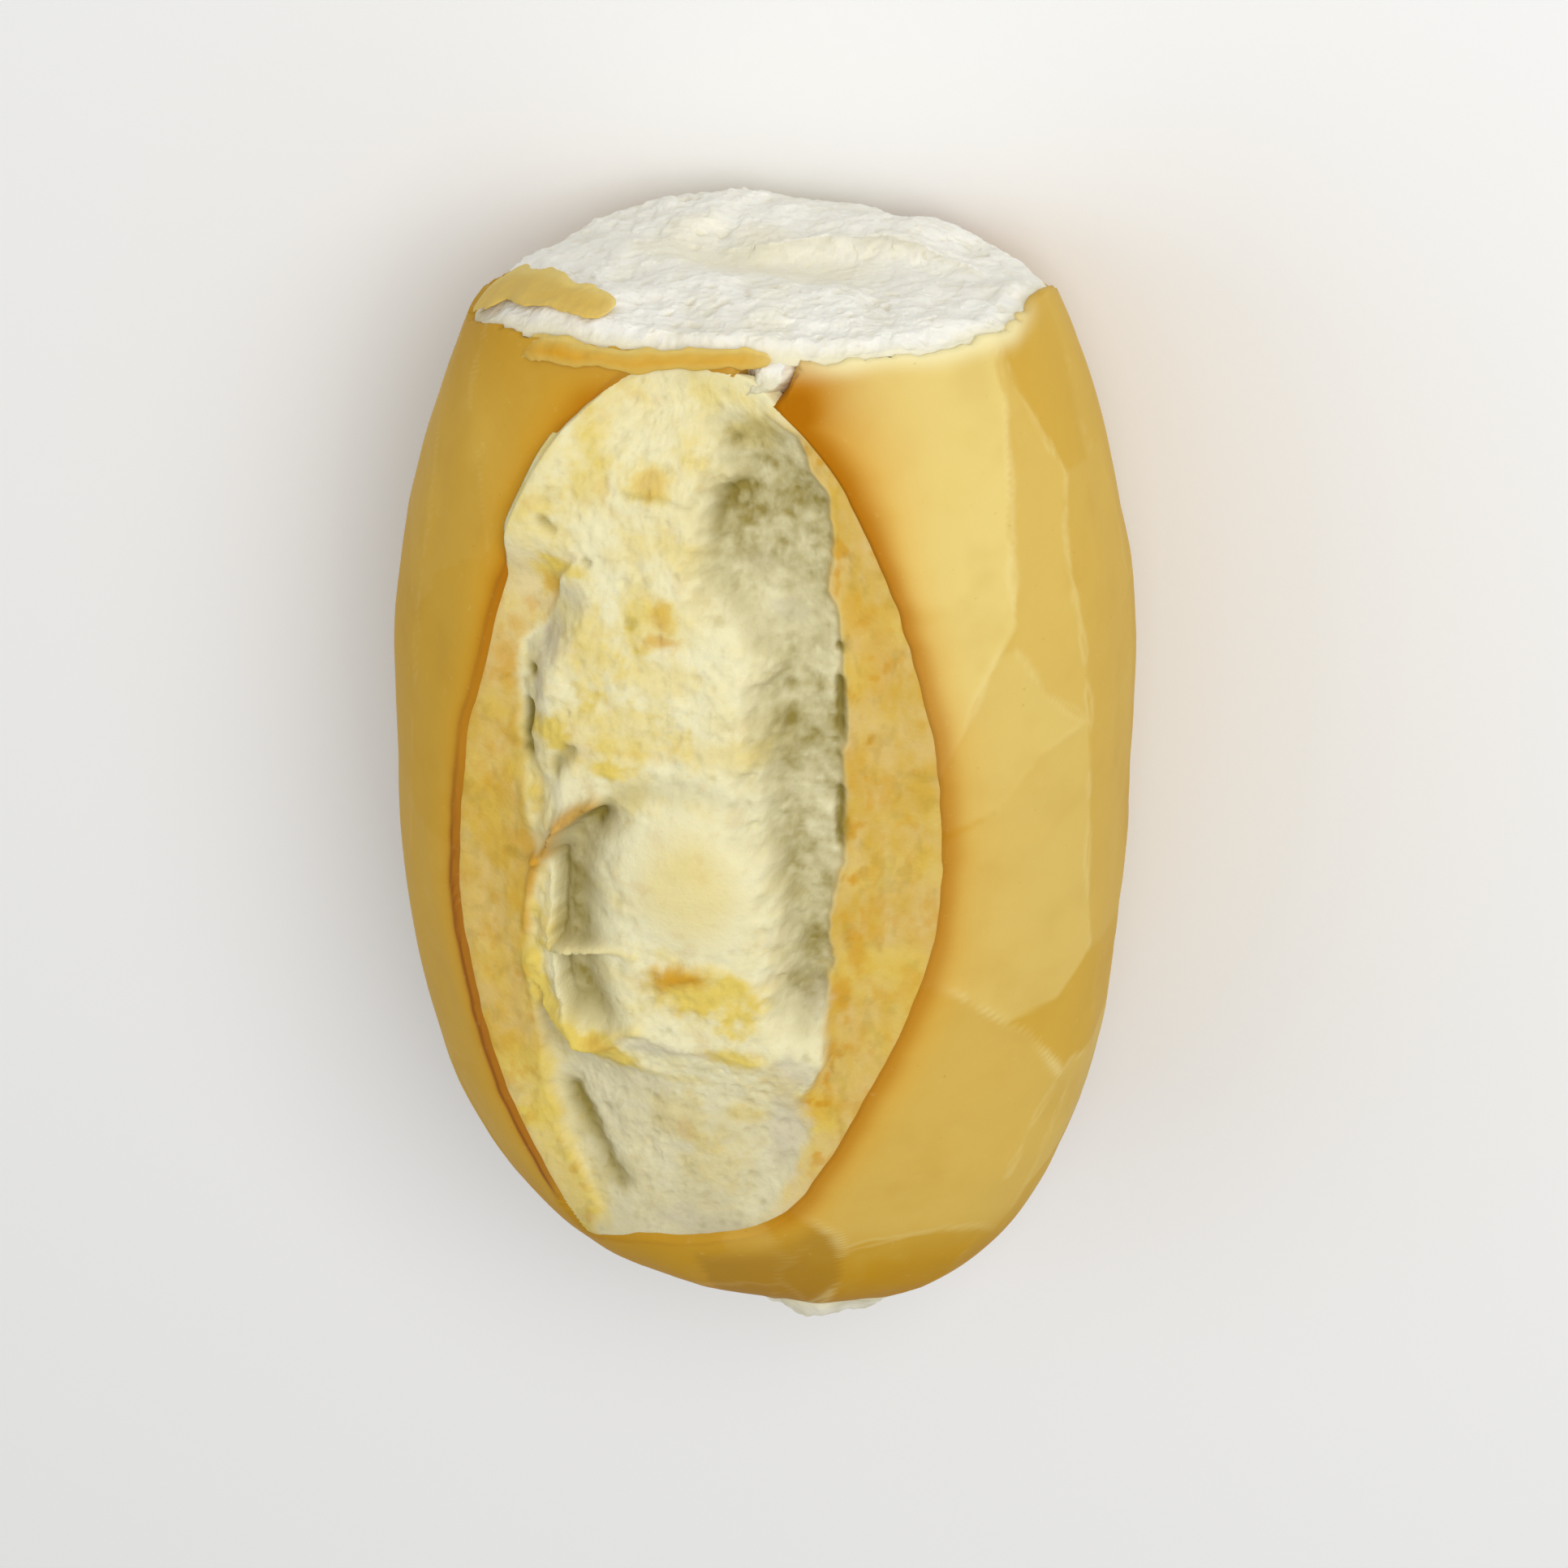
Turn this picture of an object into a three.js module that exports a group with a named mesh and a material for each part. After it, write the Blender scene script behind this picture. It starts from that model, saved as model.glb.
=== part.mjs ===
// Mini baguette: a short crusty roll, burst open along its top, with one end torn off.
// Millimetres. +Z is up, +Y runs along the roll to the torn end, +X is the roll's right side
// with the torn end away from the viewer. The origin is at the middle of the base.
//
// The loaf is one closed skin of rings. Each ring is a section across the roll at one station
// along Y. The rings start at the whole end, the tail, and close on the torn face.

import * as THREE from 'three';

// ---- Driving dimensions ------------------------------------------------------------------

// The loaf
const LOAF_WIDTH = 75.6;
const LOAF_HEIGHT = 52.4;
const WIDEST_Y = 14.0; // station of the widest section
const TAIL_LENGTH = 68.8; // widest section to the tip of the whole end
const NOSE_LENGTH = 68.4; // widest section to where the torn end would have ended
const TAIL_BLUNTNESS = 3.0; // superellipse powers of the outline from above
const NOSE_BLUNTNESS = 1.8;
const SIDE_HEIGHT = 27.5; // height of the widest line above the base
const TAIL_LEAN = { reach: 3.8, power: 2.2 }; // how far the tip of the tail stands to the right
const TAIL_RISE = 5.0; // how far the tail's middle is lifted off the base
const CROWN_POWER = 2.1; // superellipse power of the section, upper half
const SIDE_POWER = 2.15;
const BELLY_POWER = 2.9; // lower half, flattened by the baking tray
const BELLY_FULLNESS = 0.8; // below 1, the belly stays deep towards the ends
const BASE_CUT = 1.3; // how deep the tray cuts the belly flat
const CENTRING = [0.5, -1.37, 0]; // brings the finished loaf's box onto the origin

// The crust's broken edge
const RIM_Y = 57.2;
const RIM_TILT = 1.8; // further out at the right side than at the left
const RIM_DIP = { depth: 4.9, power: 5 }; // how much further back the crust broke at the left side
const RIM_RECEDE = { depth: 4.5, from: 0, to: 0.6 }; // and underneath
const RIM_RAG = { size: 9, height: 0.8, reach: 30, seed: 41 }; // how uneven it is
const RIM_PULL = 3; // power with which the rings before it take on its shape

// Flat plates of the crust, which meet in soft creases
const PLATE_DEPTH = 0.85; // share of the way from the smooth loaf to its flat plates
const PLATE_LIFT_MAX = 1.5;
const PLATE_SINK_MAX = 0.4;
const PLATE_FACING = 0.35; // a plate turned further away than this cosine doesn't count
const PLATE_FADE = 6; // width beside the burst over which the plates fade out
const CREASE_SOFTNESS = 0.22;

// Where the plates touch the smooth loaf: [station, angle in degrees]. On the right side they are
// the long panels between the creases.
const RIGHT_PLATES = [
  [40, 47], [37, 25], [44, 4], [17, 34], [22, 8], [-3, 38], [-6, 14], [-14, 30], [-30, 22], [-34, 44],
  [-44, 60], [-46, 20], [2, -8],
];
const TAIL_PLATES = [[-53, 100], [-54, 250], [-52, 330]];

// The rest are laid in rows with a repeatable scatter. Every second row is turned by the stagger.
const PLATE_ROWS = {
  stations: [46, 27, 6, -14, -33, -49],
  angles: { first: 128, last: 350, step: 31 },
  stagger: 13,
  along: { scatter: 12, seed: 5 },
  round: { scatter: 14, seed: 9 },
};

// The burst, an oval opening along the top. Its lips, steps and lines are drawn in the plan view
// as [station, sideways place], from the tail to the torn end.
const LEFT_LIP = [
  [-48.5, -12.4], [-43, -15.5], [-36, -18], [-30.5, -20.8], [-24, -22.8], [-15, -25], [-8, -26.1],
  [5, -26], [11, -25.1], [19.5, -23.2], [27, -21.5], [35.5, -19.2], [40.5, -17.3], [46.5, -14.8],
  [50.2, -12.4], [53.4, -10], [55.2, -7.8], [56.6, -1.5],
];
const RIGHT_LIP = [
  [-48.5, -12.4], [-45.8, -6.9], [-43, 1.6], [-39.8, 8], [-35.5, 12.2], [-28.5, 15.6], [-22, 18.5],
  [-14.5, 21.5], [-8, 23.8], [-2, 25], [6.5, 25.3], [15.5, 24.7], [23, 23.4], [29, 21.8], [36, 19.2],
  [42, 16.4], [48, 12.8], [51.4, 9.2], [54, 5.8], [56.2, 3.2], [56.6, -1.5],
];
const LIP_SMOOTHING = { rounds: 2, share: 0.25 }; // rounds of corner cutting, share of a stretch cut
const LIP_SWELL = 0.55; // crust lip above the plates
const LIP_WIDTH = 3.4;
const LIP_LEAST = 0.4; // share of the swell that is left at the burst's ends
const LIP_WALL = 1.0; // width of the drop inside the lip
const LEDGE_DROP = 1.3; // toasted ledge under the lip
const LEDGE_FALL = 0.9; // further fall of the ledge to its inner edge
const LEDGE_REACH = 9.0; // width over which it falls

// Inside the burst. The ledges end in steps down to the floor, then the crumb bulges up.
const LEFT_STEP = [
  [-46, -11.5], [-38, -12.7], [-29.8, -15.8], [-21, -17], [-8.8, -17.9], [0.4, -17], [12, -18.7],
  [24.7, -18.8], [28.5, -15.8], [35.7, -12.8], [43.2, -15.3], [46, -13],
];
const RIGHT_STEP = [
  [-38, 8.5], [-30.8, 11.7], [-21.6, 12.7], [-16.8, 14.8], [-0.1, 14.9], [5.9, 16.1], [19.4, 15.7],
  [33.4, 14.3], [42.4, 12.8], [48.2, 10.2], [53, 5],
];
const VALLEY_EDGE = [
  [-14, 11.6], [-6.3, 11.4], [5.4, 8.8], [15.9, 7.4], [22.7, 8], [28.9, 6.8], [37.2, 0.8], [46.9, 2.7],
];
const VALLEY_SIDE = [-1.5, 2.8]; // its slope begins and ends this far beside the edge
const STEP_WIDTH = 1.6;
const FLOOR_DROP = 1.3; // height of both steps
const FLOOR_ENDS = { tail: [-17, -10], nose: [48, 53] }; // where the floor begins and ends
const BULGE = { height: 3.0, rise: 5.5, tail: [-23, -15], nose: [44, 56], fade: [30, 42] };
const BLISTER = { x: 1.0, y: 3.3, halfWidth: 7.4, halfLength: 8.8, height: 1.1 };
const HOLLOW = {
  path: [[11, -7.5], [5.4, -10.9], [1.9, -11.2], [-4.3, -11], [-11, -10.4], [-18, -8.6]],
  width: 2.4,
  depth: 2.8,
};
const MEMBRANE = {
  path: [[-13, -18], [-17.3, -15.7], [-19.6, -10.8], [-21.1, -5.6], [-22.1, 2.9], [-24.3, 9.3]],
  width: 1.2,
  height: 1.3,
};
const LOWER_PIT = { path: [[-26.5, -12.2], [-33.8, -8.6], [-39, -6.5]], width: 1.4, depth: 1.8 };
const LOWER_CRUMB = { x: 1, y: -30, halfWidth: 13, halfLength: 12, height: 2.0, from: -17, to: -24 };
const CRUMB_GRAIN = { size: 6.0, height: 0.45, seed: 21 };
const BURST_TAPER = { width: 9, tail: [-46, -30], least: 0.4 }; // the burst is shallow at its ends

// The torn face
const TORN_BULGE = 1.4; // fluffy middle beyond the crust's edge
const TORN_SHOULDER = 2.4; // power with which it rises from the broken edge
const TORN_SILL = 0.12; // share of the way in over which it rises
const TORN_HOLLOW = { x: -1, z: 22.5, halfWidth: 13, halfHeight: 6, depth: 2.2 };
const TORN_CHIN = { height: 2.2, top: 22, foot: 4, inner: [0.3, 0.7] }; // swell of its lowest part
const TORN_RAG = { size: 8.0, height: 0.9, seed: 55 };

// The pale scar on the tail, a round patch of bare crumb in the crust. It lies behind the station
// given by `end`, a share of the tail's length.
const SCAR = { x: 9.5, z: 33.5, halfWidth: 10, halfHeight: 7, height: 1.3, end: 0.8, edge: [0.75, 1.05] };
const SCAR_GRAIN = { size: 4, share: 0.5, seed: 33 };

// How finely the skin is divided
const TAIL_RINGS = 33;
const NOSE_RINGS = 24;
const TORN_RINGS = 8;
const TORN_CROWDING = 1.25; // above 1, the torn face's rings crowd towards its edge
const SIDE_COLUMNS = 40; // columns from lip to lip round the belly

// The columns over the burst follow its half width, between a least one in mm and a greatest one
// as a share of the loaf's, and stop short of the loaf's very side.
const FOLLOW = { least: 9, most: 0.66, across: 0.97 };

// Columns over the burst, as shares of its half width, closer at the lips and the groove
const BURST_COLUMNS = [
  -1.36, -1.14, -1.03, -0.96, -0.88, -0.78, -0.69, -0.62, -0.54, -0.45, -0.35, -0.24, -0.12,
  0, 0.12, 0.24, 0.34, 0.43, 0.51, 0.58, 0.64, 0.7, 0.79, 0.88, 0.96, 1.03, 1.14, 1.36,
];

// Steps for the smooth loaf's normal: along in mm, round in radians, and how near the tip it goes
const NORMAL_STEP = { along: 0.4, round: 0.02, tip: 0.01 };

// Noise: large odd factors that scatter whole numbers, and the finer of two octaves
const SCATTER = { column: 374761393, row: 668265263, seed: 974634777, mix: 1274126177, top: 4294967295 };
const FINE_OCTAVE = { ratio: 2.1, share: 0.35, seedStep: 7 };

// ---- Small tools of arithmetic -----------------------------------------------------------

const clamp = (value, low, high) => Math.min(Math.max(value, low), high);
const square = (value) => value * value;
const bell = (value, width) => Math.exp(-square(value / width));
const signedPower = (value, power) => Math.sign(value) * Math.abs(value) ** power;

function smoothStep(low, high, value) {
  const share = clamp((value - low) / (high - low), 0, 1);
  return share * share * (3 - 2 * share);
}

// A repeatable random number from 0 to 1 for a whole-number cell.
function cellNumber(i, j, k) {
  let hash = Math.imul(i, SCATTER.column) ^ Math.imul(j, SCATTER.row) ^ Math.imul(k, SCATTER.seed);
  hash = Math.imul(hash ^ (hash >>> 13), SCATTER.mix);
  return ((hash ^ (hash >>> 16)) >>> 0) / SCATTER.top;
}

// Smooth noise from -1 to 1: random numbers at whole cells, blended between them.
function softNoise(x, y, seed) {
  const column = Math.floor(x);
  const row = Math.floor(y);
  const across = smoothStep(0, 1, x - column);
  const along = smoothStep(0, 1, y - row);
  const near = THREE.MathUtils.lerp(
    cellNumber(column, row, seed),
    cellNumber(column + 1, row, seed),
    across,
  );
  const far = THREE.MathUtils.lerp(
    cellNumber(column, row + 1, seed),
    cellNumber(column + 1, row + 1, seed),
    across,
  );
  return 2 * THREE.MathUtils.lerp(near, far, along) - 1;
}

// Two octaves of that noise, for crags of the given size.
function crag(x, y, size, seed) {
  const fine = size / FINE_OCTAVE.ratio;
  const coarseNoise = softNoise(x / size, y / size, seed);
  const fineNoise = softNoise(x / fine, y / fine, seed + FINE_OCTAVE.seedStep);
  return THREE.MathUtils.lerp(coarseNoise, fineNoise, FINE_OCTAVE.share);
}

// ---- The smooth loaf ---------------------------------------------------------------------

// Share of the full width at a station along Y.
function fullness(y) {
  const towardsTail = y < WIDEST_Y;
  const reach = Math.abs(y - WIDEST_Y) / (towardsTail ? TAIL_LENGTH : NOSE_LENGTH);
  const power = towardsTail ? TAIL_BLUNTNESS : NOSE_BLUNTNESS;
  return clamp(1 - reach ** power, 0, 1) ** (1 / power);
}

// Half width, middle and half heights of the section at a station.
function sectionAt(y) {
  const full = fullness(y);
  const tailShare = clamp((WIDEST_Y - y) / TAIL_LENGTH, 0, 1);
  const middle = SIDE_HEIGHT + TAIL_RISE * tailShare ** 3;
  return {
    lean: TAIL_LEAN.reach * tailShare ** TAIL_LEAN.power,
    middle,
    halfWidth: (LOAF_WIDTH / 2) * full,
    crown: (LOAF_HEIGHT - middle) * full,
    belly: (middle + BASE_CUT) * full ** BELLY_FULLNESS,
  };
}

// A point of the smooth loaf: station y and angle round the section, 0 at the right side,
// a quarter turn at the top.
function smoothPoint(y, angle) {
  const section = sectionAt(y);
  const across = Math.cos(angle);
  const up = Math.sin(angle);
  const x = section.lean + section.halfWidth * signedPower(across, 2 / SIDE_POWER);
  const rise = up > 0
    ? section.crown * up ** (2 / CROWN_POWER)
    : -section.belly * (-up) ** (2 / BELLY_POWER);
  return new THREE.Vector3(x, y, section.middle + rise);
}

// Outward normal of the smooth loaf, from two short steps along it.
function smoothNormal(y, angle) {
  const tailTip = WIDEST_Y - TAIL_LENGTH;
  const from = Math.max(y - NORMAL_STEP.along, tailTip + NORMAL_STEP.tip);
  const along = smoothPoint(y + NORMAL_STEP.along, angle).sub(smoothPoint(from, angle));
  const round = smoothPoint(y, angle + NORMAL_STEP.round).sub(smoothPoint(y, angle - NORMAL_STEP.round));
  return along.cross(round).normalize();
}

// ---- Plates of the crust -----------------------------------------------------------------

function* platePlaces() {
  const { stations, angles, stagger, along, round } = PLATE_ROWS;
  yield* RIGHT_PLATES;
  for (const [row, station] of stations.entries()) {
    for (let angle = angles.first; angle < angles.last; angle += angles.step) {
      const aside = along.scatter * (cellNumber(row, angle, along.seed) - 0.5);
      const turn = round.scatter * (cellNumber(row, angle, round.seed) - 0.5);
      yield [station + aside, angle + turn + stagger * (row % 2)];
    }
  }
  yield* TAIL_PLATES;
}

const plates = [...platePlaces()].map(([y, degrees]) => {
  const angle = THREE.MathUtils.degToRad(degrees);
  return { centre: smoothPoint(y, angle), normal: smoothNormal(y, angle) };
});

// Lift from the smooth loaf to the nearest flat plate, rounded where two plates meet.
function plateLift(point, normal) {
  let sum = 0;
  for (const plate of plates) {
    const facing = normal.dot(plate.normal);
    if (facing < PLATE_FACING) continue;
    const lift = plate.centre.clone().sub(point).dot(plate.normal) / facing;
    sum += Math.exp(-lift / CREASE_SOFTNESS);
  }
  const nearest = -CREASE_SOFTNESS * Math.log(sum + Math.exp(-PLATE_LIFT_MAX / CREASE_SOFTNESS));
  return PLATE_DEPTH * Math.max(nearest, -PLATE_SINK_MAX);
}

// ---- The burst ---------------------------------------------------------------------------

// A path with its corners cut: each stretch loses the given share at both ends.
function cutCorners(path) {
  const rounded = [path[0]];
  for (let corner = 0; corner + 1 < path.length; corner += 1) {
    for (const share of [LIP_SMOOTHING.share, 1 - LIP_SMOOTHING.share]) {
      const along = (axis) => THREE.MathUtils.lerp(path[corner][axis], path[corner + 1][axis], share);
      rounded.push([along(0), along(1)]);
    }
  }
  rounded.push(path[path.length - 1]);
  return rounded;
}

function smoothLip(path) {
  let lip = path;
  for (let round = 0; round < LIP_SMOOTHING.rounds; round += 1) lip = cutCorners(lip);
  return lip;
}

const leftLip = smoothLip(LEFT_LIP);
const rightLip = smoothLip(RIGHT_LIP);

// Sideways place of a path at a station, held at its ends.
function placeAt(path, y) {
  const next = path.findIndex(([station]) => station > y);
  if (next === 0) return path[0][1];
  if (next < 0) return path[path.length - 1][1];
  const [fromY, fromX] = path[next - 1];
  const [toY, toX] = path[next];
  return THREE.MathUtils.lerp(fromX, toX, (y - fromY) / (toY - fromY));
}

const burstMiddle = (y) => 0.5 * (placeAt(leftLip, y) + placeAt(rightLip, y));
const burstHalfWidth = (y) => 0.5 * (placeAt(rightLip, y) - placeAt(leftLip, y));

// Distance in the plan view from a point to the straight stretch between two corners.
function stretchGap(x, y, [fromY, fromX], [toY, toX]) {
  const alongX = toX - fromX;
  const alongY = toY - fromY;
  const reach = square(alongX) + square(alongY);
  const share = clamp(((x - fromX) * alongX + (y - fromY) * alongY) / reach, 0, 1);
  return Math.hypot(x - fromX - share * alongX, y - fromY - share * alongY);
}

// Distance in the plan view from a point to a path.
function pathGap(x, y, path) {
  let least = Infinity;
  for (let corner = 0; corner + 1 < path.length; corner += 1) {
    least = Math.min(least, stretchGap(x, y, path[corner], path[corner + 1]));
  }
  return least;
}

// Distance outside the lip line in millimetres, negative inside.
function lipGap(x, y) {
  const gap = Math.min(pathGap(x, y, leftLip), pathGap(x, y, rightLip));
  const alongside = y > leftLip[0][0] && y < leftLip[leftLip.length - 1][0];
  const enclosed = alongside && x > placeAt(leftLip, y) && x < placeAt(rightLip, y);
  return enclosed ? -gap : gap;
}

// Height of a soft-edged line drawn inside the burst.
const strokeRelief = (stroke, x, y) => bell(pathGap(x, y, stroke.path), stroke.width);

// Rises over the first pair of stations and falls over the second.
const between = (rise, fall, y) => smoothStep(...rise, y) * (1 - smoothStep(...fall, y));

// Height of the crumb inside the burst, from the lip down.
function crumbRelief(x, y, gap) {
  const fromLeft = x - placeAt(LEFT_STEP, y);
  const fromRight = placeAt(RIGHT_STEP, y) - x;
  const floor = smoothStep(0, STEP_WIDTH, fromLeft) * smoothStep(0, STEP_WIDTH, fromRight);
  const valley = smoothStep(...VALLEY_SIDE, x - placeAt(VALLEY_EDGE, y))
    * between(FLOOR_ENDS.tail, FLOOR_ENDS.nose, y);
  const lower = 1 - smoothStep(LOWER_CRUMB.to, LOWER_CRUMB.from, y);
  let height = -LEDGE_DROP - LEDGE_FALL * clamp(-gap / LEDGE_REACH, 0, 1);
  height -= FLOOR_DROP * floor * Math.max(valley, lower);

  const towardsNose = smoothStep(...BULGE.fade, y);
  const rise = THREE.MathUtils.lerp(smoothStep(0, BULGE.rise, fromLeft), 1, towardsNose);
  height += BULGE.height * rise * (1 - valley) * floor * between(BULGE.tail, BULGE.nose, y);
  const lowerSwell = bell(x - LOWER_CRUMB.x, LOWER_CRUMB.halfWidth)
    * bell(y - LOWER_CRUMB.y, LOWER_CRUMB.halfLength);
  height += LOWER_CRUMB.height * lowerSwell * lower * floor;

  const blisterX = square((x - BLISTER.x) / BLISTER.halfWidth);
  const blisterY = square((y - BLISTER.y) / BLISTER.halfLength);
  height += BLISTER.height * clamp(1 - blisterX - blisterY, 0, 1);
  height -= HOLLOW.depth * strokeRelief(HOLLOW, x, y);
  height -= LOWER_PIT.depth * strokeRelief(LOWER_PIT, x, y);
  height += MEMBRANE.height * strokeRelief(MEMBRANE, x, y);
  return height + CRUMB_GRAIN.height * crag(x, y, CRUMB_GRAIN.size, CRUMB_GRAIN.seed);
}

// Height of the burst and its lips over the smooth loaf.
function burstRelief(x, y) {
  const gap = lipGap(x, y);
  const wide = smoothStep(0, BURST_TAPER.width, burstHalfWidth(y));
  const deep = THREE.MathUtils.lerp(BURST_TAPER.least, 1, smoothStep(...BURST_TAPER.tail, y));
  const taper = wide * deep;
  const swell = LIP_SWELL * THREE.MathUtils.lerp(LIP_LEAST, 1, taper);
  const lip = swell * bell(gap - 0.5 * LIP_WIDTH, LIP_WIDTH);
  if (gap >= 0) return lip;
  const inside = smoothStep(0, LIP_WALL, -gap);
  return lip * (1 - inside) + taper * inside * crumbRelief(x, y, gap);
}

// ---- The tail's scar ---------------------------------------------------------------------

function scarRelief(point) {
  if (point.y > WIDEST_Y - SCAR.end * TAIL_LENGTH) return 0;
  const reach = Math.hypot((point.x - SCAR.x) / SCAR.halfWidth, (point.z - SCAR.z) / SCAR.halfHeight);
  const grain = 1 + SCAR_GRAIN.share * crag(point.x, point.z, SCAR_GRAIN.size, SCAR_GRAIN.seed);
  return SCAR.height * (1 - smoothStep(...SCAR.edge, reach)) * grain;
}

// ---- The skin ----------------------------------------------------------------------------

// A point of the finished crust and burst.
function skinPoint(y, angle) {
  const point = smoothPoint(y, angle);
  const normal = smoothNormal(y, angle);
  const above = angle > 0 && angle < Math.PI;
  const beside = above ? smoothStep(0, PLATE_FADE, lipGap(point.x, point.y)) : 1;
  let lift = plateLift(point, normal) * beside + scarRelief(point);
  if (above) lift += burstRelief(point.x, point.y);
  point.addScaledVector(normal, lift);
  point.z = Math.max(point.z, 0); // the flat that the baking tray left
  return point;
}

// Angles of the columns at a station: over the burst they follow its lips, and round the
// belly they are even.
function columnAngles(y) {
  const section = sectionAt(y);
  const follow = Math.min(Math.max(burstHalfWidth(y), FOLLOW.least), FOLLOW.most * section.halfWidth);
  const over = BURST_COLUMNS.map((share) => {
    const x = burstMiddle(y) + share * follow - section.lean;
    const across = clamp(x / section.halfWidth, -FOLLOW.across, FOLLOW.across);
    return Math.acos(signedPower(across, SIDE_POWER / 2));
  }).reverse();
  const first = over[over.length - 1];
  const last = over[0] + 2 * Math.PI;
  const round = [];
  for (let column = 1; column < SIDE_COLUMNS; column += 1) {
    round.push(first + ((last - first) * column) / SIDE_COLUMNS);
  }
  return [...over, ...round];
}

// The rings of the crust from just past the tail's tip to the widest section, closer together
// where the loaf rounds off.
function tailRings() {
  const rings = [];
  for (let ring = 1; ring <= TAIL_RINGS; ring += 1) {
    const y = WIDEST_Y - TAIL_LENGTH * Math.sin((Math.PI / 2) * (1 - ring / TAIL_RINGS));
    rings.push(columnAngles(y).map((angle) => skinPoint(y, angle)));
  }
  return rings;
}

// Station of the crust's broken edge at an angle round the section. It leans to the left, dips
// at the left side, draws back underneath and is ragged.
function rimStation(angle) {
  const across = Math.cos(angle);
  const up = Math.sin(angle);
  const dip = RIM_DIP.depth * clamp(-across, 0, 1) ** RIM_DIP.power;
  const recede = RIM_RECEDE.depth * smoothStep(RIM_RECEDE.from, RIM_RECEDE.to, -up);
  const rag = RIM_RAG.height * crag(RIM_RAG.reach * across, RIM_RAG.reach * up, RIM_RAG.size, RIM_RAG.seed);
  return RIM_Y + RIM_TILT * across - dip - recede + rag;
}

// The rings from the widest section to the crust's broken edge.
function noseRings() {
  const rings = [];
  for (let ring = 1; ring <= NOSE_RINGS; ring += 1) {
    const share = ring / NOSE_RINGS;
    const evenStation = THREE.MathUtils.lerp(WIDEST_Y, RIM_Y, share);
    rings.push(columnAngles(evenStation).map((angle) => {
      const towardsRim = share ** RIM_PULL * (rimStation(angle) - RIM_Y);
      return skinPoint(evenStation + towardsRim, angle);
    }));
  }
  return rings;
}

// A point of the torn face, drawn in from a point of the broken edge towards the middle.
function tornPoint(edge, middle, inward) {
  const point = edge.clone().lerp(middle, inward);
  const { x, z } = point;
  const hollow = bell(x - TORN_HOLLOW.x, TORN_HOLLOW.halfWidth)
    * bell(z - TORN_HOLLOW.z, TORN_HOLLOW.halfHeight);
  const rag = TORN_RAG.height * crag(x, z, TORN_RAG.size, TORN_RAG.seed);
  const swell = TORN_BULGE + rag - TORN_HOLLOW.depth * hollow;
  const chin = TORN_CHIN.height * smoothStep(TORN_CHIN.top, TORN_CHIN.foot, z)
    * (1 - smoothStep(...TORN_CHIN.inner, inward));
  point.y = middle.y + (edge.y - middle.y) * (1 - inward) ** TORN_SHOULDER
    + smoothStep(0, TORN_SILL, inward) * (swell + chin);
  return point;
}

function tornRings(rim, middle) {
  const rings = [];
  for (let ring = 1; ring < TORN_RINGS; ring += 1) {
    const inward = (ring / TORN_RINGS) ** TORN_CROWDING;
    rings.push(rim.map((edge) => tornPoint(edge, middle, inward)));
  }
  return rings;
}

// One closed skin through the rings, with a single vertex at each end.
function closeSkin(rings, start, end) {
  const columns = rings[0].length;
  const vertices = [start, ...rings.flat(), end];
  const indices = [];
  const at = (ring, column) => 1 + ring * columns + (column % columns);
  const last = vertices.length - 1;
  for (let column = 0; column < columns; column += 1) {
    indices.push(0, at(0, column), at(0, column + 1));
    indices.push(last, at(rings.length - 1, column + 1), at(rings.length - 1, column));
    for (let ring = 0; ring + 1 < rings.length; ring += 1) {
      indices.push(at(ring, column), at(ring + 1, column), at(ring + 1, column + 1));
      indices.push(at(ring, column), at(ring + 1, column + 1), at(ring, column + 1));
    }
  }
  const geometry = new THREE.BufferGeometry().setFromPoints(vertices);
  geometry.setIndex(indices);
  geometry.computeVertexNormals();
  return geometry;
}

function loafGeometry() {
  const tip = smoothPoint(WIDEST_Y - TAIL_LENGTH, 0);
  const rings = [...tailRings(), ...noseRings()];
  const rim = rings[rings.length - 1];
  const middle = new THREE.Vector3(0, RIM_Y, 0.5 * LOAF_HEIGHT);
  const skin = closeSkin([...rings, ...tornRings(rim, middle)], tip, tornPoint(middle, middle, 1));
  return skin.translate(...CENTRING);
}

// ---- The object --------------------------------------------------------------------------

const crust = new THREE.MeshStandardMaterial({ color: '#cfa647', roughness: 0.55, metalness: 0 });
const loaf = new THREE.Mesh(loafGeometry(), crust);
loaf.name = 'mini_baguette';

const miniBaguette = new THREE.Group();
miniBaguette.name = 'mini_baguette_assembly';
miniBaguette.add(loaf);

export default miniBaguette;
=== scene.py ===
"""Mini baguette: the looks of a short crusty roll, burst along its top and torn open at one end.

The roll lies on its belly with the burst up. +Y runs to the torn end, +X is its right side. Every
form is worked out in millimetres on numpy grids and turned to metres when its mesh is made.
"""

import itertools
import logging
import math
from dataclasses import dataclass, field
from enum import Enum, IntEnum
from functools import cached_property
from typing import Any

import bpy
import numpy as np
from mathutils import Matrix, Vector


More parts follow.
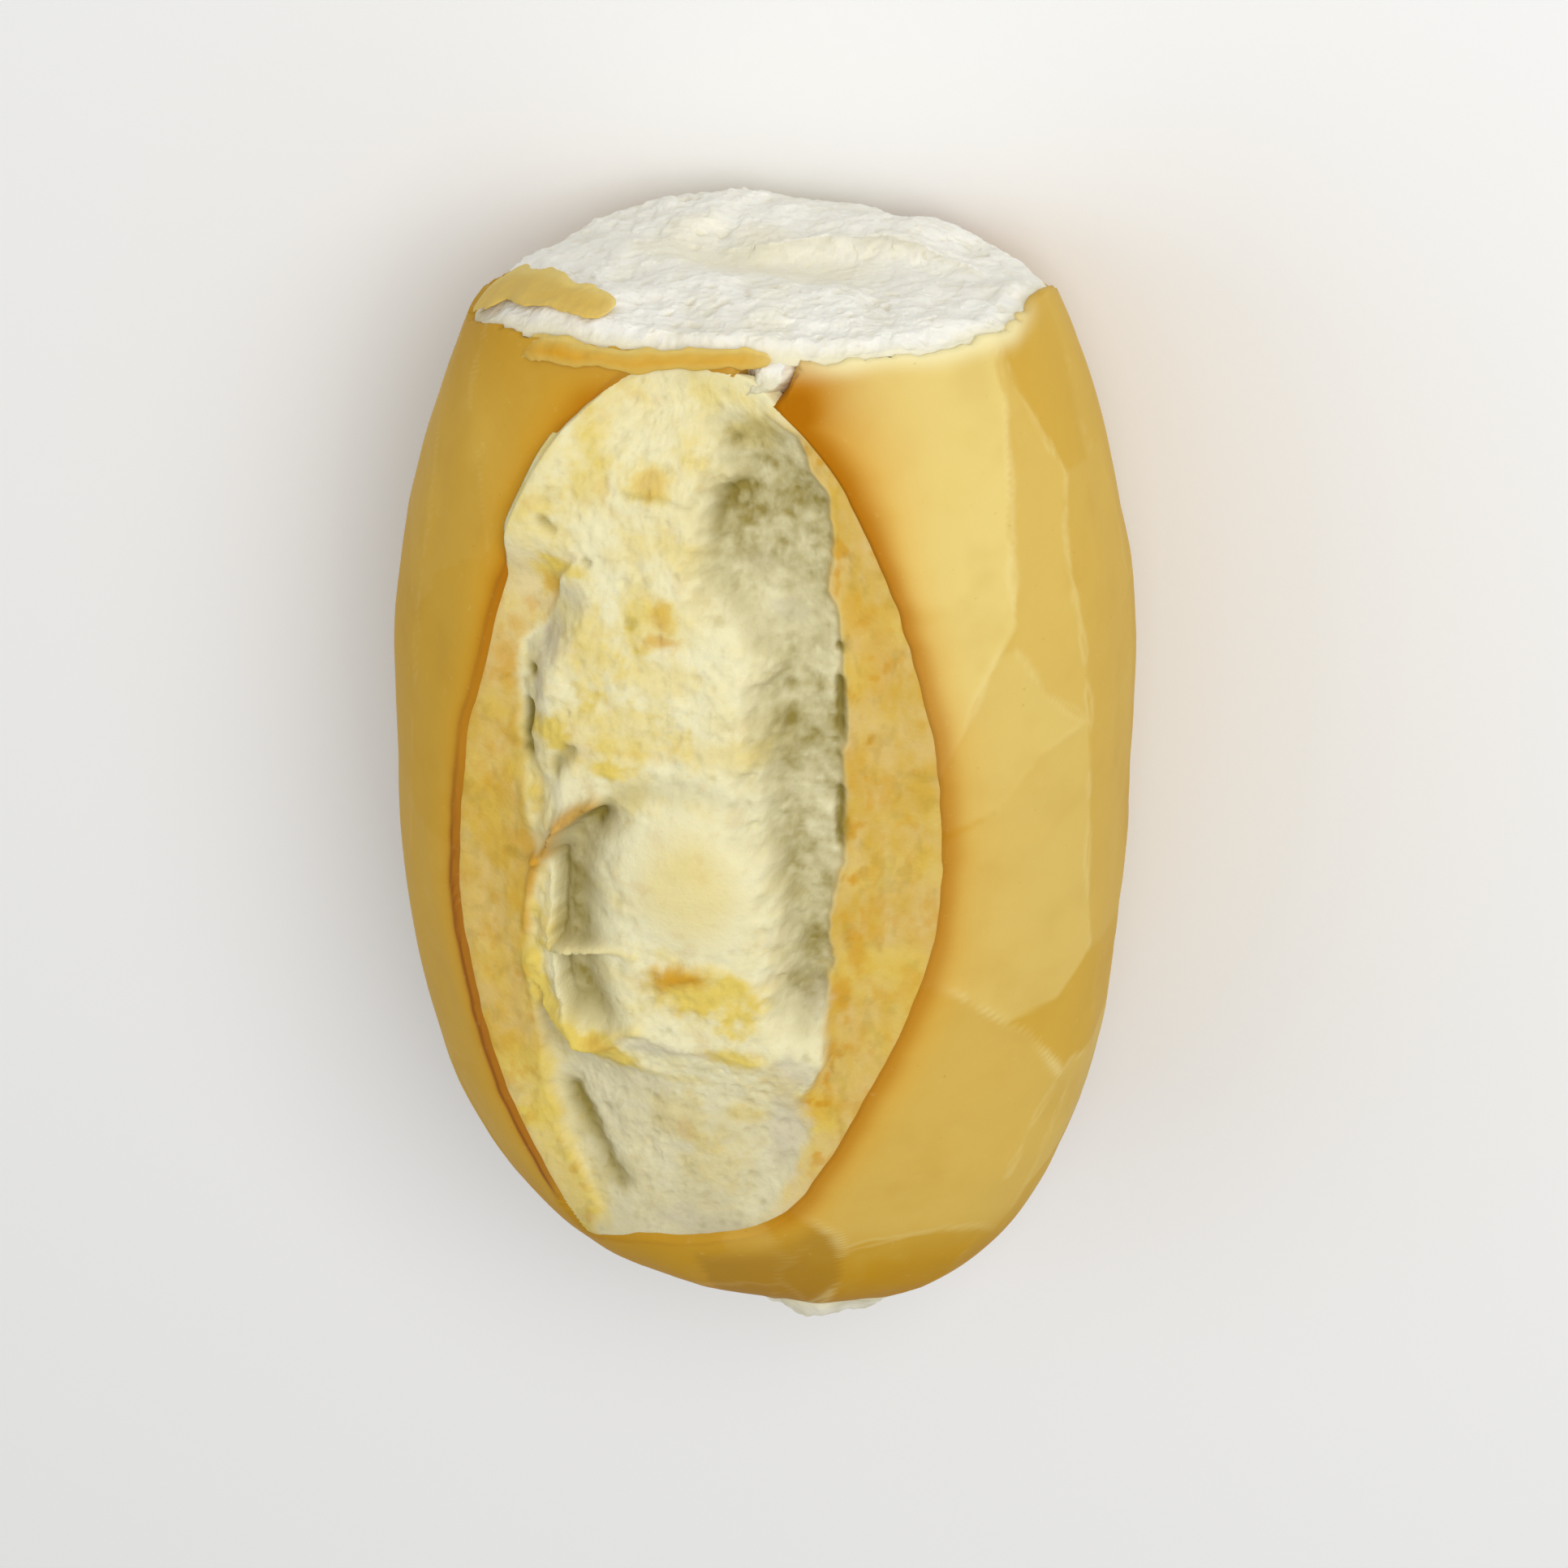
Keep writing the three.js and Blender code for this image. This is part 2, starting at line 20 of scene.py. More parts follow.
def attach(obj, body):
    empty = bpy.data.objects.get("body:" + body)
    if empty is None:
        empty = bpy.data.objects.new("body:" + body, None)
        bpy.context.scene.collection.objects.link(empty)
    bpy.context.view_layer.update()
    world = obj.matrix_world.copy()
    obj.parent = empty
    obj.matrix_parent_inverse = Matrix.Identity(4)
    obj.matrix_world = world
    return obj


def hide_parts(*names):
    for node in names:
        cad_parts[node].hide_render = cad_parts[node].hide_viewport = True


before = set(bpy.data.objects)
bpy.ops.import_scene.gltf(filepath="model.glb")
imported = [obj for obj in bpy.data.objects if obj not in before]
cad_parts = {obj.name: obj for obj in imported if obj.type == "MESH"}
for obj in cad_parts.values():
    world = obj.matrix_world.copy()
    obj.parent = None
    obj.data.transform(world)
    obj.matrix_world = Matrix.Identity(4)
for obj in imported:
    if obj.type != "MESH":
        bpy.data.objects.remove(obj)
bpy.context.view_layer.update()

Array = np.ndarray
Path = tuple[tuple[float, float], ...]

MM = 0.001
NODE = "mini_baguette"
BODY = "root"
# The forms below are laid out from the photo's measures. This moves the roll's box onto the origin.
SHIFT = np.array([0.5, -1.37, 0.0])

log = logging.getLogger("mini_baguette")


class Slot(Enum):
    """The record's material slots."""

    CRUST = "crust"
    CRUMB = "crumb"


class Seed(IntEnum):
    """Where each random pattern starts, so that no two are alike and each is the same on every run."""

    RIM_CRAG, RIM_RAG, TORN_CRAG = 41, 43, 55
    LIP_WAVER, LIP_FINE = 61, 62
    RAGGED, VALLEY, DASHES = 70, 71, 73
    COTTON, TUFT, FIBRE, BLOTCH, STREAK, HOLE, SMALL_HOLE, SKIN = 80, 83, 84, 86, 87, 90, 95, 99
    SPOT, BLOT_EDGE, MOTTLE, CLOUD, FRECKLE, SOOT, LEDGE_SOOT = 104, 105, 106, 107, 108, 111, 113
    LUMP, PUFF, BILLOW, TORN_HOLE, TORN_SMALL, SHIFT_X, SHIFT_Z = 117, 120, 126, 131, 136, 140, 143
    CELL_X, CELL_Y, CELL_TONE, WAVER, WOBBLE, SWELL = 201, 202, 203, 211, 217, 240
    TONGUE_SIDE, TONGUE_END, TONGUE_LUMP, TONGUE_PORE = 301, 302, 303, 304
    SCAR_RAG, SCAR_LUMP, SCAR_PORE, STRIP, FLAP = 310, 311, 312, 320, 330


# ---- Arithmetic ---------------------------------------------------------------------------

# A cell's number: its indices times odd factors, joined and mixed as words of 32 bits.
WORD = 0xFFFFFFFF
WORD_SPAN = 4294967296.0
ODD_FACTORS = (374761393, 668265263, 974634777)
MIXING_FACTOR = 1274126177
# Each octave of a fractal is this much finer, turned, and moved along by these cells and seeds.
FINER, TURN, OCTAVE_CELLS, OCTAVE_SEEDS, EVENED = 2.07, math.radians(37.0), (17.3, 9.1), 13, 1.6
# A crag's coarse share, how much finer its second layer is, and that layer's seed step.
CRAG_SHARE, CRAG_FINER, CRAG_SEEDS = 0.65, 2.1, 7
# A pore's least radius, and how much chance adds, in cells.
PORE_RADIUS, PORE_CHANCE = 0.18, 0.34


def smooth_step(low: float, high: float, value: Array) -> Array:
    """Share from 0 at low to 1 at high, eased at both ends: 3s² - 2s³."""
    share = np.clip((value - low) / (high - low), 0.0, 1.0)
    return share * share * (3.0 - 2.0 * share)


def fade(low: float, high: float, value: Array) -> Array:
    """Share from 1 at low to 0 at high: what a smooth step leaves."""
    return 1 - smooth_step(low, high, value)


def between(start: tuple[float, float], end: tuple[float, float], value: Array) -> Array:
    """Share that rises from 0 to 1 over the start's two values and falls again over the end's."""
    return smooth_step(*start, value) * fade(*end, value)


def bell(value: Array, width: float) -> Array:
    """Gaussian bump of height 1: e to the minus (value over width) squared."""
    return np.exp(-np.square(value / width))


def signed_power(value: Array, power: float) -> Array:
    """Power of the size of a value, with the value's sign."""
    return np.sign(value) * np.abs(value) ** power


def along(path: Path, y: Array) -> Array:
    """Sideways place of a line at each station, straight between its (station, place) corners."""
    corners = np.array(path)
    return np.interp(y, corners[:, 0], corners[:, 1])


def cell_number(i: Array, j: Array, k: Array) -> Array:
    """A repeatable random number from 0 to 1 for each whole-number cell.

    The three indices are multiplied by odd factors, joined bit by bit and mixed twice.
    """
    i, j, k = (np.asarray(index).astype(np.int64) * odd & WORD for index, odd in zip((i, j, k), ODD_FACTORS))
    mixed = i ^ j ^ k
    mixed = ((mixed ^ (mixed >> 13)) * MIXING_FACTOR) & WORD
    return (mixed ^ (mixed >> 16)) / WORD_SPAN


def soft_noise(x: Array, y: Array, seed: int) -> Array:
    """Smooth noise from -1 to 1: random numbers at whole cells, blended between them."""
    column, row = np.floor(x), np.floor(y)
    across, up = smooth_step(0, 1, x - column), smooth_step(0, 1, y - row)
    near, far = (
        cell_number(column, place, seed) * (1 - across) + cell_number(column + 1, place, seed) * across
        for place in (row, row + 1))
    return 2.0 * (near * (1 - up) + far * up) - 1.0


def crag(x: Array, y: Array, size: float, seed: int) -> Array:
    """Two octaves of soft noise for crags of the given size."""
    coarse = soft_noise(x / size, y / size, seed)
    fine = soft_noise(CRAG_FINER * x / size, CRAG_FINER * y / size, seed + CRAG_SEEDS)
    return CRAG_SHARE * coarse + (1 - CRAG_SHARE) * fine


def fractal(x: Array, y: Array, size: float, seed: int, octaves: int = 4, stretch: float = 1.0,
            gain: float = 0.5) -> Array:
    """Noise from about -1 to 1 in several octaves, each turned by 37 degrees from the last.

    Args:
        x, y: Coordinates in millimetres.
        size: Size of the largest lumps.
        seed: Start of the random cells.
        octaves: Number of layers, each half as large as the one before.
        stretch: How many times longer the lumps are along x than along y; then nothing turns.
        gain: Height of each layer against the one before.

    Returns:
        The noise, in the shape of x.
    """
    u, v = x / (size * stretch), y / size
    turn = TURN if stretch == 1.0 else 0.0
    cosine, sine = FINER * math.cos(turn), FINER * math.sin(turn)
    total = np.zeros_like(u * v)
    for octave in range(octaves):
        along_u, along_v = OCTAVE_CELLS[0] * octave, OCTAVE_CELLS[1] * octave
        total += gain**octave * soft_noise(u + along_u, v - along_v, seed + OCTAVE_SEEDS * octave)
        u, v = u * cosine - v * sine, u * sine + v * cosine
    return EVENED * total * (1 - gain) / (1 - gain**octaves)


def pores(x: Array, y: Array, size: float, seed: int, share: float) -> Array:
    """Round holes: 1 in the middle of a pore and 0 outside it.

    Each square cell holds one point at a random place. The distance to the nearest point whose
    cell drew less than the share gives the pore, with a random radius.
    """
    u, v = x / size, y / size
    column, row = np.floor(u), np.floor(v)
    depth = np.zeros_like(u)
    for step_x, step_y in itertools.product((-1, 0, 1), repeat=2):
        cell_x, cell_y = column + step_x, row + step_y
        centre_x = cell_x + cell_number(cell_x, cell_y, seed)
        centre_y = cell_y + cell_number(cell_x, cell_y, seed + 1)
        radius = PORE_RADIUS + PORE_CHANCE * cell_number(cell_x, cell_y, seed + 2)
        here = cell_number(cell_x, cell_y, seed + 3) < share
        reach = np.hypot(u - centre_x, v - centre_y) / radius
        depth = np.maximum(depth, here * fade(0.1, 1.0, reach))
    return depth


def path_nearest(points: Array, path: Array) -> tuple[Array, Array]:
    """Least distance from each point (n, d) to an open path of corners (m, d), and where.

    Returns:
        The distances, and the places of the nearest points as shares of the path, from 0 to 1.
    """
    nearest, place = np.full(len(points), np.inf), np.zeros(len(points))
    for number, (start, end) in enumerate(zip(path[:-1], path[1:])):
        run = end - start
        share = np.clip((points - start) @ run / (run @ run), 0.0, 1.0)
        gap = np.linalg.norm(points - start - share[:, None] * run, axis=1)
        place = np.where(gap < nearest, (number + share) / (len(path) - 1), place)
        nearest = np.minimum(nearest, gap)
    return nearest, place


def path_gap(points: Array, path: Array) -> Array:
    """Least distance from each point (n, d) to an open path of corners (m, d)."""
    return path_nearest(points, path)[0]


def plan_gap(x: Array, y: Array, path: Path | Array) -> Array:
    """Least distance in plan from each point to an open path of (x, y) corners."""
    points = np.stack([x.ravel(), y.ravel()], axis=1)
    return path_gap(points, np.array(path)).reshape(x.shape)


def cut_corners(path: Path, rounds: int) -> Array:
    """Path with its corners cut: each stretch keeps its middle half, a few rounds over."""
    corners = np.array(path, dtype=float)
    for _ in range(rounds):
        start, end = corners[:-1], corners[1:]
        kept = np.stack([0.75 * start + 0.25 * end, 0.25 * start + 0.75 * end], axis=1)
        corners = np.concatenate([corners[:1], kept.reshape(-1, 2), corners[-1:]])
    return corners


def inside_path(points: Array, path: Array) -> Array:
    """Whether points (n, 2) lie inside a closed path (m, 2).

    A line from the point along the first axis crosses the path an odd number of times if the
    point is inside.
    """
    crossings = np.zeros(len(points), dtype=int)
    for start, end in zip(path, np.roll(path, -1, axis=0)):
        spans = (start[1] > points[:, 1]) != (end[1] > points[:, 1])
        run = (end[1] - start[1]) if end[1] != start[1] else 1.0
        cross = start[0] + (points[:, 1] - start[1]) / run * (end[0] - start[0])
        crossings += spans & (points[:, 0] < cross)
    return crossings % 2 == 1


# ---- Meshes -------------------------------------------------------------------------------


def grid_faces(rows: int, columns: int, closed: bool) -> Array:
    """Quads (n, 4) between the points of a grid stored row by row.

    Args:
        rows, columns: Points each way.
        closed: Whether the last column joins the first.

    Returns:
        Corner indices of every quad, all turning the same way.
    """
    spans = columns if closed else columns - 1
    row, column = np.meshgrid(np.arange(rows - 1), np.arange(spans), indexing="ij")
    right = (column + 1) % columns
    corners = [row * columns + column, row * columns + right, (row + 1) * columns + right,
               (row + 1) * columns + column]
    return np.stack(corners, axis=-1).reshape(-1, 4)


def fan_faces(ring: Array, hub: int) -> Array:
    """Triangles from each edge of a closed ring of indices to one hub vertex."""
    return np.stack([np.roll(ring, -1), ring, np.full_like(ring, hub)], axis=-1)


def border(rows: int, columns: int) -> Array:
    """Indices round the edge of an open grid, in the turn that its fan needs."""
    index = np.arange(rows * columns).reshape(rows, columns)
    return np.concatenate([index[0, :-1], index[:-1, -1], index[-1, :0:-1], index[:0:-1, 0]])


def disc_grid(side: int) -> tuple[Array, Array]:
    """A square grid bent to a disc of radius 1: coordinates across and up (side, side).

    Each coordinate is shortened by the square root of one less half the other's square.
    """
    line = np.linspace(-1, 1, side)
    u, v = np.meshgrid(line, line, indexing="ij")
    return u * np.sqrt(1 - v**2 / 2), v * np.sqrt(1 - u**2 / 2)


@dataclass
class Surface:
    """A closed mesh being made: points in millimetres, faces and named numbers on the points."""

    vertices: Array
    quads: Array
    triangles: Array
    numbers: dict[str, Array] = field(default_factory=dict)

    def volume(self) -> float:
        """Volume inside the faces, negative when they point inwards."""
        split = np.concatenate([self.quads[:, [0, 1, 2]], self.quads[:, [0, 2, 3]], self.triangles])
        a, b, c = (self.vertices[split[:, corner]] for corner in range(3))
        return float(np.einsum("ij,ij->i", a, np.cross(b, c)).sum() / 6.0)

    def to_object(self, name: str, finish: bpy.types.Material, slot: Slot) -> bpy.types.Object:
        """Makes the Blender object, smooth, turned outwards and riding on the roll's body.

        Args:
            name: The piece's name.
            finish: Its material.
            slot: The record's slot that the finish stands for; not used.

        Returns:
            The object, at the origin, with its place in its mesh.
        """
        if self.volume() < 0:
            self.quads, self.triangles = self.quads[:, ::-1], self.triangles[:, ::-1]
        mesh = bpy.data.meshes.new(name)
        mesh.vertices.add(len(self.vertices))
        mesh.vertices.foreach_set("co", ((self.vertices + SHIFT) * MM).astype(np.float32).ravel())
        corners = np.concatenate([self.quads.ravel(), self.triangles.ravel()]).astype(np.int32)
        sizes = np.concatenate([np.full(len(self.quads), 4), np.full(len(self.triangles), 3)])
        mesh.loops.add(len(corners))
        mesh.loops.foreach_set("vertex_index", corners)
        mesh.polygons.add(len(sizes))
        mesh.polygons.foreach_set("loop_start", (np.cumsum(sizes) - sizes).astype(np.int32))
        mesh.polygons.foreach_set("use_smooth", np.ones(len(sizes), dtype=bool))
        mesh.update(calc_edges=True)
        for key, numbers in self.numbers.items():
            layer = mesh.attributes.new(key, "FLOAT", "POINT")
            layer.data.foreach_set("value", np.ascontiguousarray(numbers, dtype=np.float32))
        mesh.materials.append(finish)
        piece = bpy.data.objects.new(name, mesh)
        bpy.context.scene.collection.objects.link(piece)
        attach(piece, BODY)
        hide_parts(NODE)
        log.info("%s: %d triangles", name, 2 * len(self.quads) + len(self.triangles))
        return piece


def close_patch(top: Array, back: Array, numbers: dict[str, Array]) -> Surface:
    """A closed piece from an open grid and one point behind it.

    Args:
        top: Grid of points (rows, columns, 3).
        back: The point that the grid's edge is drawn together to, out of sight.
        numbers: Named numbers (rows, columns) of the grid; the back point gets 0.

    Returns:
        The closed surface.
    """
    rows, columns = top.shape[:2]
    vertices = np.concatenate([top.reshape(-1, 3), back[None]])
    flat = {key: np.append(values.ravel(), 0.0) for key, values in numbers.items()}
    triangles = fan_faces(border(rows, columns), rows * columns)
    return Surface(vertices, grid_faces(rows, columns, closed=False), triangles, flat)


def close_tube(rings: Array, hubs: tuple[Array, Array], numbers: dict[str, Array],
               hub_numbers: dict[str, tuple[float, float]]) -> Surface:
    """A closed piece from closed rings, with one point at each end.

    Args:
        rings: Points (rows, columns, 3).
        hubs: The points that the first and the last ring are drawn together to.
        numbers: Named numbers (rows, columns) of the rings.
        hub_numbers: The same numbers at the two hubs.

    Returns:
        The closed surface.
    """
    rows, columns = rings.shape[:2]
    vertices = np.concatenate([rings.reshape(-1, 3), hubs[0][None], hubs[1][None]])
    flat = {key: np.append(values.ravel(), hub_numbers[key]) for key, values in numbers.items()}
    first, hub = np.arange(columns), rows * columns
    last = fan_faces(first + hub - columns, hub + 1)[:, ::-1]
    triangles = np.concatenate([fan_faces(first, hub), last])
    return Surface(vertices, grid_faces(rows, columns, closed=True), triangles, flat)


# ---- The form of the roll -----------------------------------------------------------------


@dataclass(frozen=True)
class LoafForm:
    """The smooth roll, in millimetres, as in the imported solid."""

    width: float = 75.6
    height: float = 52.4
    widest_y: float = 14.0
    tail_length: float = 68.8
    nose_length: float = 68.4
    rim_y: float = 57.2
    rim_tilt: float = 1.8
    rim_dip: float = 4.9
    rim_recede: float = 4.5
    tail_bluntness: float = 3.0
    nose_bluntness: float = 1.8
    side_height: float = 27.5
    tail_lean: float = 3.8
    tail_lean_power: float = 2.2
    tail_rise: float = 5.0
    crown_power: float = 2.1
    side_power: float = 2.15
    belly_power: float = 2.9
    belly_fullness: float = 0.8
    base_cut: float = 1.3
    rim_rag_size: float = 9.0
    rim_rag_height: float = 0.8
    rim_radius: float = 30.0
    step: float = 0.4
    turn_step: float = 0.02
    steepest: float = 0.97

    @property
    def tail_tip_y(self) -> float:
        """Station of the tip of the whole end."""
        return self.widest_y - self.tail_length

    def fullness(self, y: Array) -> Array:
        """Share of the full width at a station: a superellipse with its own power each way."""
        to_tail = y < self.widest_y
        reach = np.abs(y - self.widest_y) / np.where(to_tail, self.tail_length, self.nose_length)
        power = np.where(to_tail, self.tail_bluntness, self.nose_bluntness)
        return np.clip(1.0 - reach**power, 0.0, 1.0) ** (1.0 / power)

    def section(self, y: Array) -> tuple[Array, Array, Array, Array, Array]:
        """Lean, middle height, half width, crown and belly heights of the section at a station."""
        full = self.fullness(y)
        tail = np.clip((self.widest_y - y) / self.tail_length, 0.0, 1.0)
        middle = self.side_height + self.tail_rise * tail**3
        crown = (self.height - middle) * full
        belly = (middle + self.base_cut) * full**self.belly_fullness
        return self.tail_lean * tail**self.tail_lean_power, middle, 0.5 * self.width * full, crown, belly

    def point(self, y: Array, angle: Array) -> Array:
        """Points of the smooth roll.

        The section is a superellipse: across goes by the cosine of the angle and up by its sine,
        each to a power, with its own height for crown and belly.

        Args:
            y: Stations along the roll.
            angle: Angles round the section, 0 at the right side, a quarter turn at the top.

        Returns:
            Points, with the coordinates last.
        """
        y, angle = np.broadcast_arrays(y, angle)
        lean, middle, half_width, crown, belly = self.section(y)
        x = lean + half_width * signed_power(np.cos(angle), 2.0 / self.side_power)
        up = np.sin(angle)
        over = crown * np.abs(up) ** (2.0 / self.crown_power)
        under = -belly * np.abs(up) ** (2.0 / self.belly_power)
        return np.stack([x, y, middle + np.where(up > 0, over, under)], axis=-1)

    def normal(self, y: Array, angle: Array) -> Array:
        """Outward normals of the smooth roll: the cross product of two short steps on it."""
        y, angle = np.broadcast_arrays(y, angle)
        behind = np.maximum(y - self.step, self.tail_tip_y + 0.01)
        ahead = self.point(y + self.step, angle) - self.point(behind, angle)
        turn = self.point(y, angle + self.turn_step) - self.point(y, angle - self.turn_step)
        outward = np.cross(ahead, turn)
        return outward / np.linalg.norm(outward, axis=-1, keepdims=True)

    def angle_at(self, x: Array, y: Array) -> Array:
        """Angle round the section of the top's point at x: the section's formula turned round."""
        lean, _, half_width, _, _ = self.section(y)
        share = np.clip((x - lean) / np.maximum(half_width, 1e-6), -self.steepest, self.steepest)
        return np.arccos(signed_power(share, self.side_power / 2.0))

    def raised(self, x: Array, y: Array, height: Array) -> Array:
        """Points over the roll's top at places in plan, moved outwards by a height."""
        angle = self.angle_at(x, y)
        return self.point(y, angle) + height[..., None] * self.normal(y, angle)

    def rim_station(self, angle: Array) -> Array:
        """Station of the crust's broken edge.

        It leans towards the left, dips at the left side, draws back underneath and is ragged.
        """
        across, up = np.cos(angle), np.sin(angle)
        tilt = self.rim_tilt * across - self.rim_dip * np.clip(-across, 0, 1) ** 5
        recede = self.rim_recede * smooth_step(0.0, 0.6, -up)
        rag = crag(self.rim_radius * across, self.rim_radius * up, self.rim_rag_size, Seed.RIM_CRAG)
        return self.rim_y + tilt - recede + self.rim_rag_height * rag


@dataclass(frozen=True)
class Fold:
    """A drawn crease of the crust: its corners as (station, degrees round) and how strong it is."""

    strength: float
    corners: Path


@dataclass(frozen=True)
class Panel:
    """A panel of the crust, as corners (station, degrees round), and how pale it is, from 0 to 1: partly its
    own tone, partly painted light and shade for how the panel faces the light.
    """

    light: float
    corners: Path


# Creases that folds and panels share, as (station, degrees round).
SHOULDER: Path = ((54.2, 26), (49.2, 30), (44.2, 32), (37, 35), (32, 36), (29.4, 40), (25, 45))
FLANK: Path = ((54.3, 22), (49.2, 18), (44.5, 13), (39.9, 18), (35, 19), (28, 18))
LOW_FLANK: Path = ((18.4, 16), (12.9, 16), (1.9, 15), (-8, 12))
SPUR: Path = ((29.4, 36), (26.4, 32), (23.7, 29), (21.7, 24), (18.9, 17))
SIDE: Path = ((18.9, 17), (18.4, 24), (17.4, 30), (14.2, 36), (12.2, 40))
BELT: Path = ((-8.0, 47), (-10.1, 42), (-12.8, 36), (-14.8, 30), (-18.6, 24), (-21.6, 19))
HEM: Path = ((-24.3, 13), (-27.8, 16), (-32.6, 18), (-38.6, 20))
SCALE: Path = ((-40.8, 86), (-38.3, 82), (-36.4, 75), (-37.3, 70), (-39.3, 66), (-41.8, 64), (-47, 63))


@dataclass
class Crackle:
    """Folds and panels: the thin crust crackled into nearly flat panels as it cooled."""

    form: LoafForm
    fold_height: float = 0.45
    fold_reach: float = 3.2
    line_width: float = 0.22
    panel_edge: float = 0.35
    cells_round: int = 9
    cell_length: float = 27.0
    cell_margin: float = 0.15
    cell_squash: float = 0.7
    round_mm: float = 30.0
    faint: float = 0.6
    corner_steps: int = 6
    waver_size: float = 7.0
    wobble: tuple[float, float] = (0.6, 4.0)
    drawn_right: Path = ((-44, -38), (84, 92), (352, 362))
    drawn_left: Path = ((-34, -24), (84, 92), (165, 180))
    underneath: Path = ((200, 235), (305, 340))
    left_flank: tuple[float, float] = (88, 200)
    folds: tuple[Fold, ...] = (
        Fold(1.0, ((60, 25), *SHOULDER, (19, 49))),
        Fold(0.7, ((60, 24), *FLANK, *LOW_FLANK)),
        Fold(0.5, SPUR),
        Fold(0.5, SIDE),
        Fold(1.3, ((-7.0, 52), *BELT)),
        Fold(0.8, (BELT[-1], (-20.8, 14), (-21.6, 8), (-23.3, 2))),
        Fold(0.55, (BELT[-1], (-24.5, 21.5), (-28.5, 26), (-33, 28))),
        Fold(0.4, (BELT[-1], *HEM, (-42.3, 18))),
        Fold(0.9, ((-42, 92), *SCALE, (-52, 64))),
        Fold(0.5, ((-41.4, 64), (-40.2, 58), (-39.2, 50), (-38.8, 42), (-40.0, 30), (-41.8, 22))),
        Fold(0.3, ((55, 151), (46.5, 145), (41.5, 135), (35, 128), (30, 125))),
        Fold(0.25, ((50, 164), (43.5, 159), (38, 152), (32.5, 148), (14, 146), (-6, 151))),
    )
    panels: tuple[Panel, ...] = (
        Panel(1.0, ((62, 84), (62, 25), *SHOULDER, (17, 51), (10, 60), (20, 75), (45, 84))),
        Panel(0.55, ((62, 25), *FLANK, *SPUR[::-1], *SHOULDER[4::-1])),
        Panel(0.28, ((62, 24), *FLANK[:3], (43.4, 0), (62, -4))),
        Panel(0.4, (*FLANK[2:], *LOW_FLANK, (-10, -6), (43.4, -6))),
        Panel(0.74, (*SPUR, *SIDE[1:], (9, 60), (17, 51), (25, 45), (29.4, 40))),
        Panel(0.64, (*SIDE, (6, 62), (-7, 60), *BELT[:3], (-12, 22), *LOW_FLANK[:0:-1])),
        Panel(0.25, (LOW_FLANK[-1], (-12, 22), *BELT[2:], (-20.8, 14), (-21, -6), (-10, -6))),
        Panel(0.46, ((-6, 62), *BELT, *HEM, (-41.8, 22), (-40, 30), (-38.8, 42), (-40.2, 58), (-41.4, 64),
                     (-39.3, 66), (-36.4, 75), (-30, 84))),
    )
    flake: Path = ((-43, 94), *SCALE, (-54, 64), (-54.5, 94))

    def network(self, y: Array, angle: Array) -> tuple[Array, Array]:
        """Distance to the edges of random cells round the roll, and each cell's own number.

        Each cell of a stretched grid holds one point at a random place, and the grid closes round
        the section. The distance to the line halfway between the two nearest points is the
        difference of the squares of their distances, over twice the distance between them.
        """
        width = self.round_mm * math.tau / self.cells_round
        u, v = angle / math.tau * self.cells_round, y / self.cell_length
        column, row = np.floor(u), np.floor(v)
        first, second = np.full(u.shape, 1e6), np.full(u.shape, 1e6)
        spread = 1 - 2 * self.cell_margin
        near = np.zeros((*u.shape, 2))
        next_near, tone = near.copy(), np.zeros(u.shape)
        for step_u, step_v in itertools.product((-1, 0, 1), repeat=2):
            cell_u, cell_v = column + step_u, row + step_v
            key = np.mod(cell_u, self.cells_round)
            centre_u = (cell_u + self.cell_margin + spread * cell_number(key, cell_v, Seed.CELL_X)) * width
            centre_v = cell_v + self.cell_margin + spread * cell_number(key, cell_v, Seed.CELL_Y)
            centre_v = centre_v * self.cell_length
            centre = np.stack([centre_u, centre_v], axis=-1)
            square = (u * width - centre_u) ** 2 + (self.cell_squash * (v * self.cell_length - centre_v)) ** 2
            closer = square < first
            runner_up = np.where((square <= second)[..., None], centre, next_near)
            next_near = np.where(closer[..., None], near, runner_up)
            second = np.where(closer, first, np.minimum(second, square))
            near = np.where(closer[..., None], centre, near)
            tone = np.where(closer, cell_number(key, cell_v, Seed.CELL_TONE), tone)
            first = np.minimum(first, square)
        apart = np.linalg.norm((near - next_near) * (1.0, self.cell_squash), axis=-1)
        return (second - first) / np.maximum(2.0 * apart, 1.0), tone

    def unrolled(self, corners: Path) -> Array:
        """Corners (station, degrees) as millimetres along and round the roll."""
        return np.array(corners) * (1.0, math.radians(self.round_mm))

    def within(self, y: Array, angle: Array, corners: Path) -> Array:
        """Share from 0 to 1 of a drawn panel at each point, soft at its edge."""
        turned = np.where(angle > math.pi * 1.5, angle - math.tau, angle) * self.round_mm
        flat = np.stack([y.ravel(), turned.ravel()], axis=1)
        path = self.unrolled(corners)
        edge = path_gap(flat, np.concatenate([path, path[:1]]))
        inward = np.where(inside_path(flat, path), edge, -edge)
        return smooth_step(-self.panel_edge, self.panel_edge, inward).reshape(y.shape)

    def light(self, y: Array, angle: Array, tone: Array) -> Array:
        """How pale the crust is, from 0 to 1: drawn panels where it shows, random ones elsewhere; the drawn
        panels' paleness is partly painted light and shade.
        """
        start, end = np.radians(self.left_flank)
        on_left = (angle > start) & (angle < end)
        light = 0.2 + np.where(on_left, 0.1, 0.35) * tone
        for panel in self.panels:
            light = light + (panel.light - light) * self.within(y, angle, panel.corners)
        return light

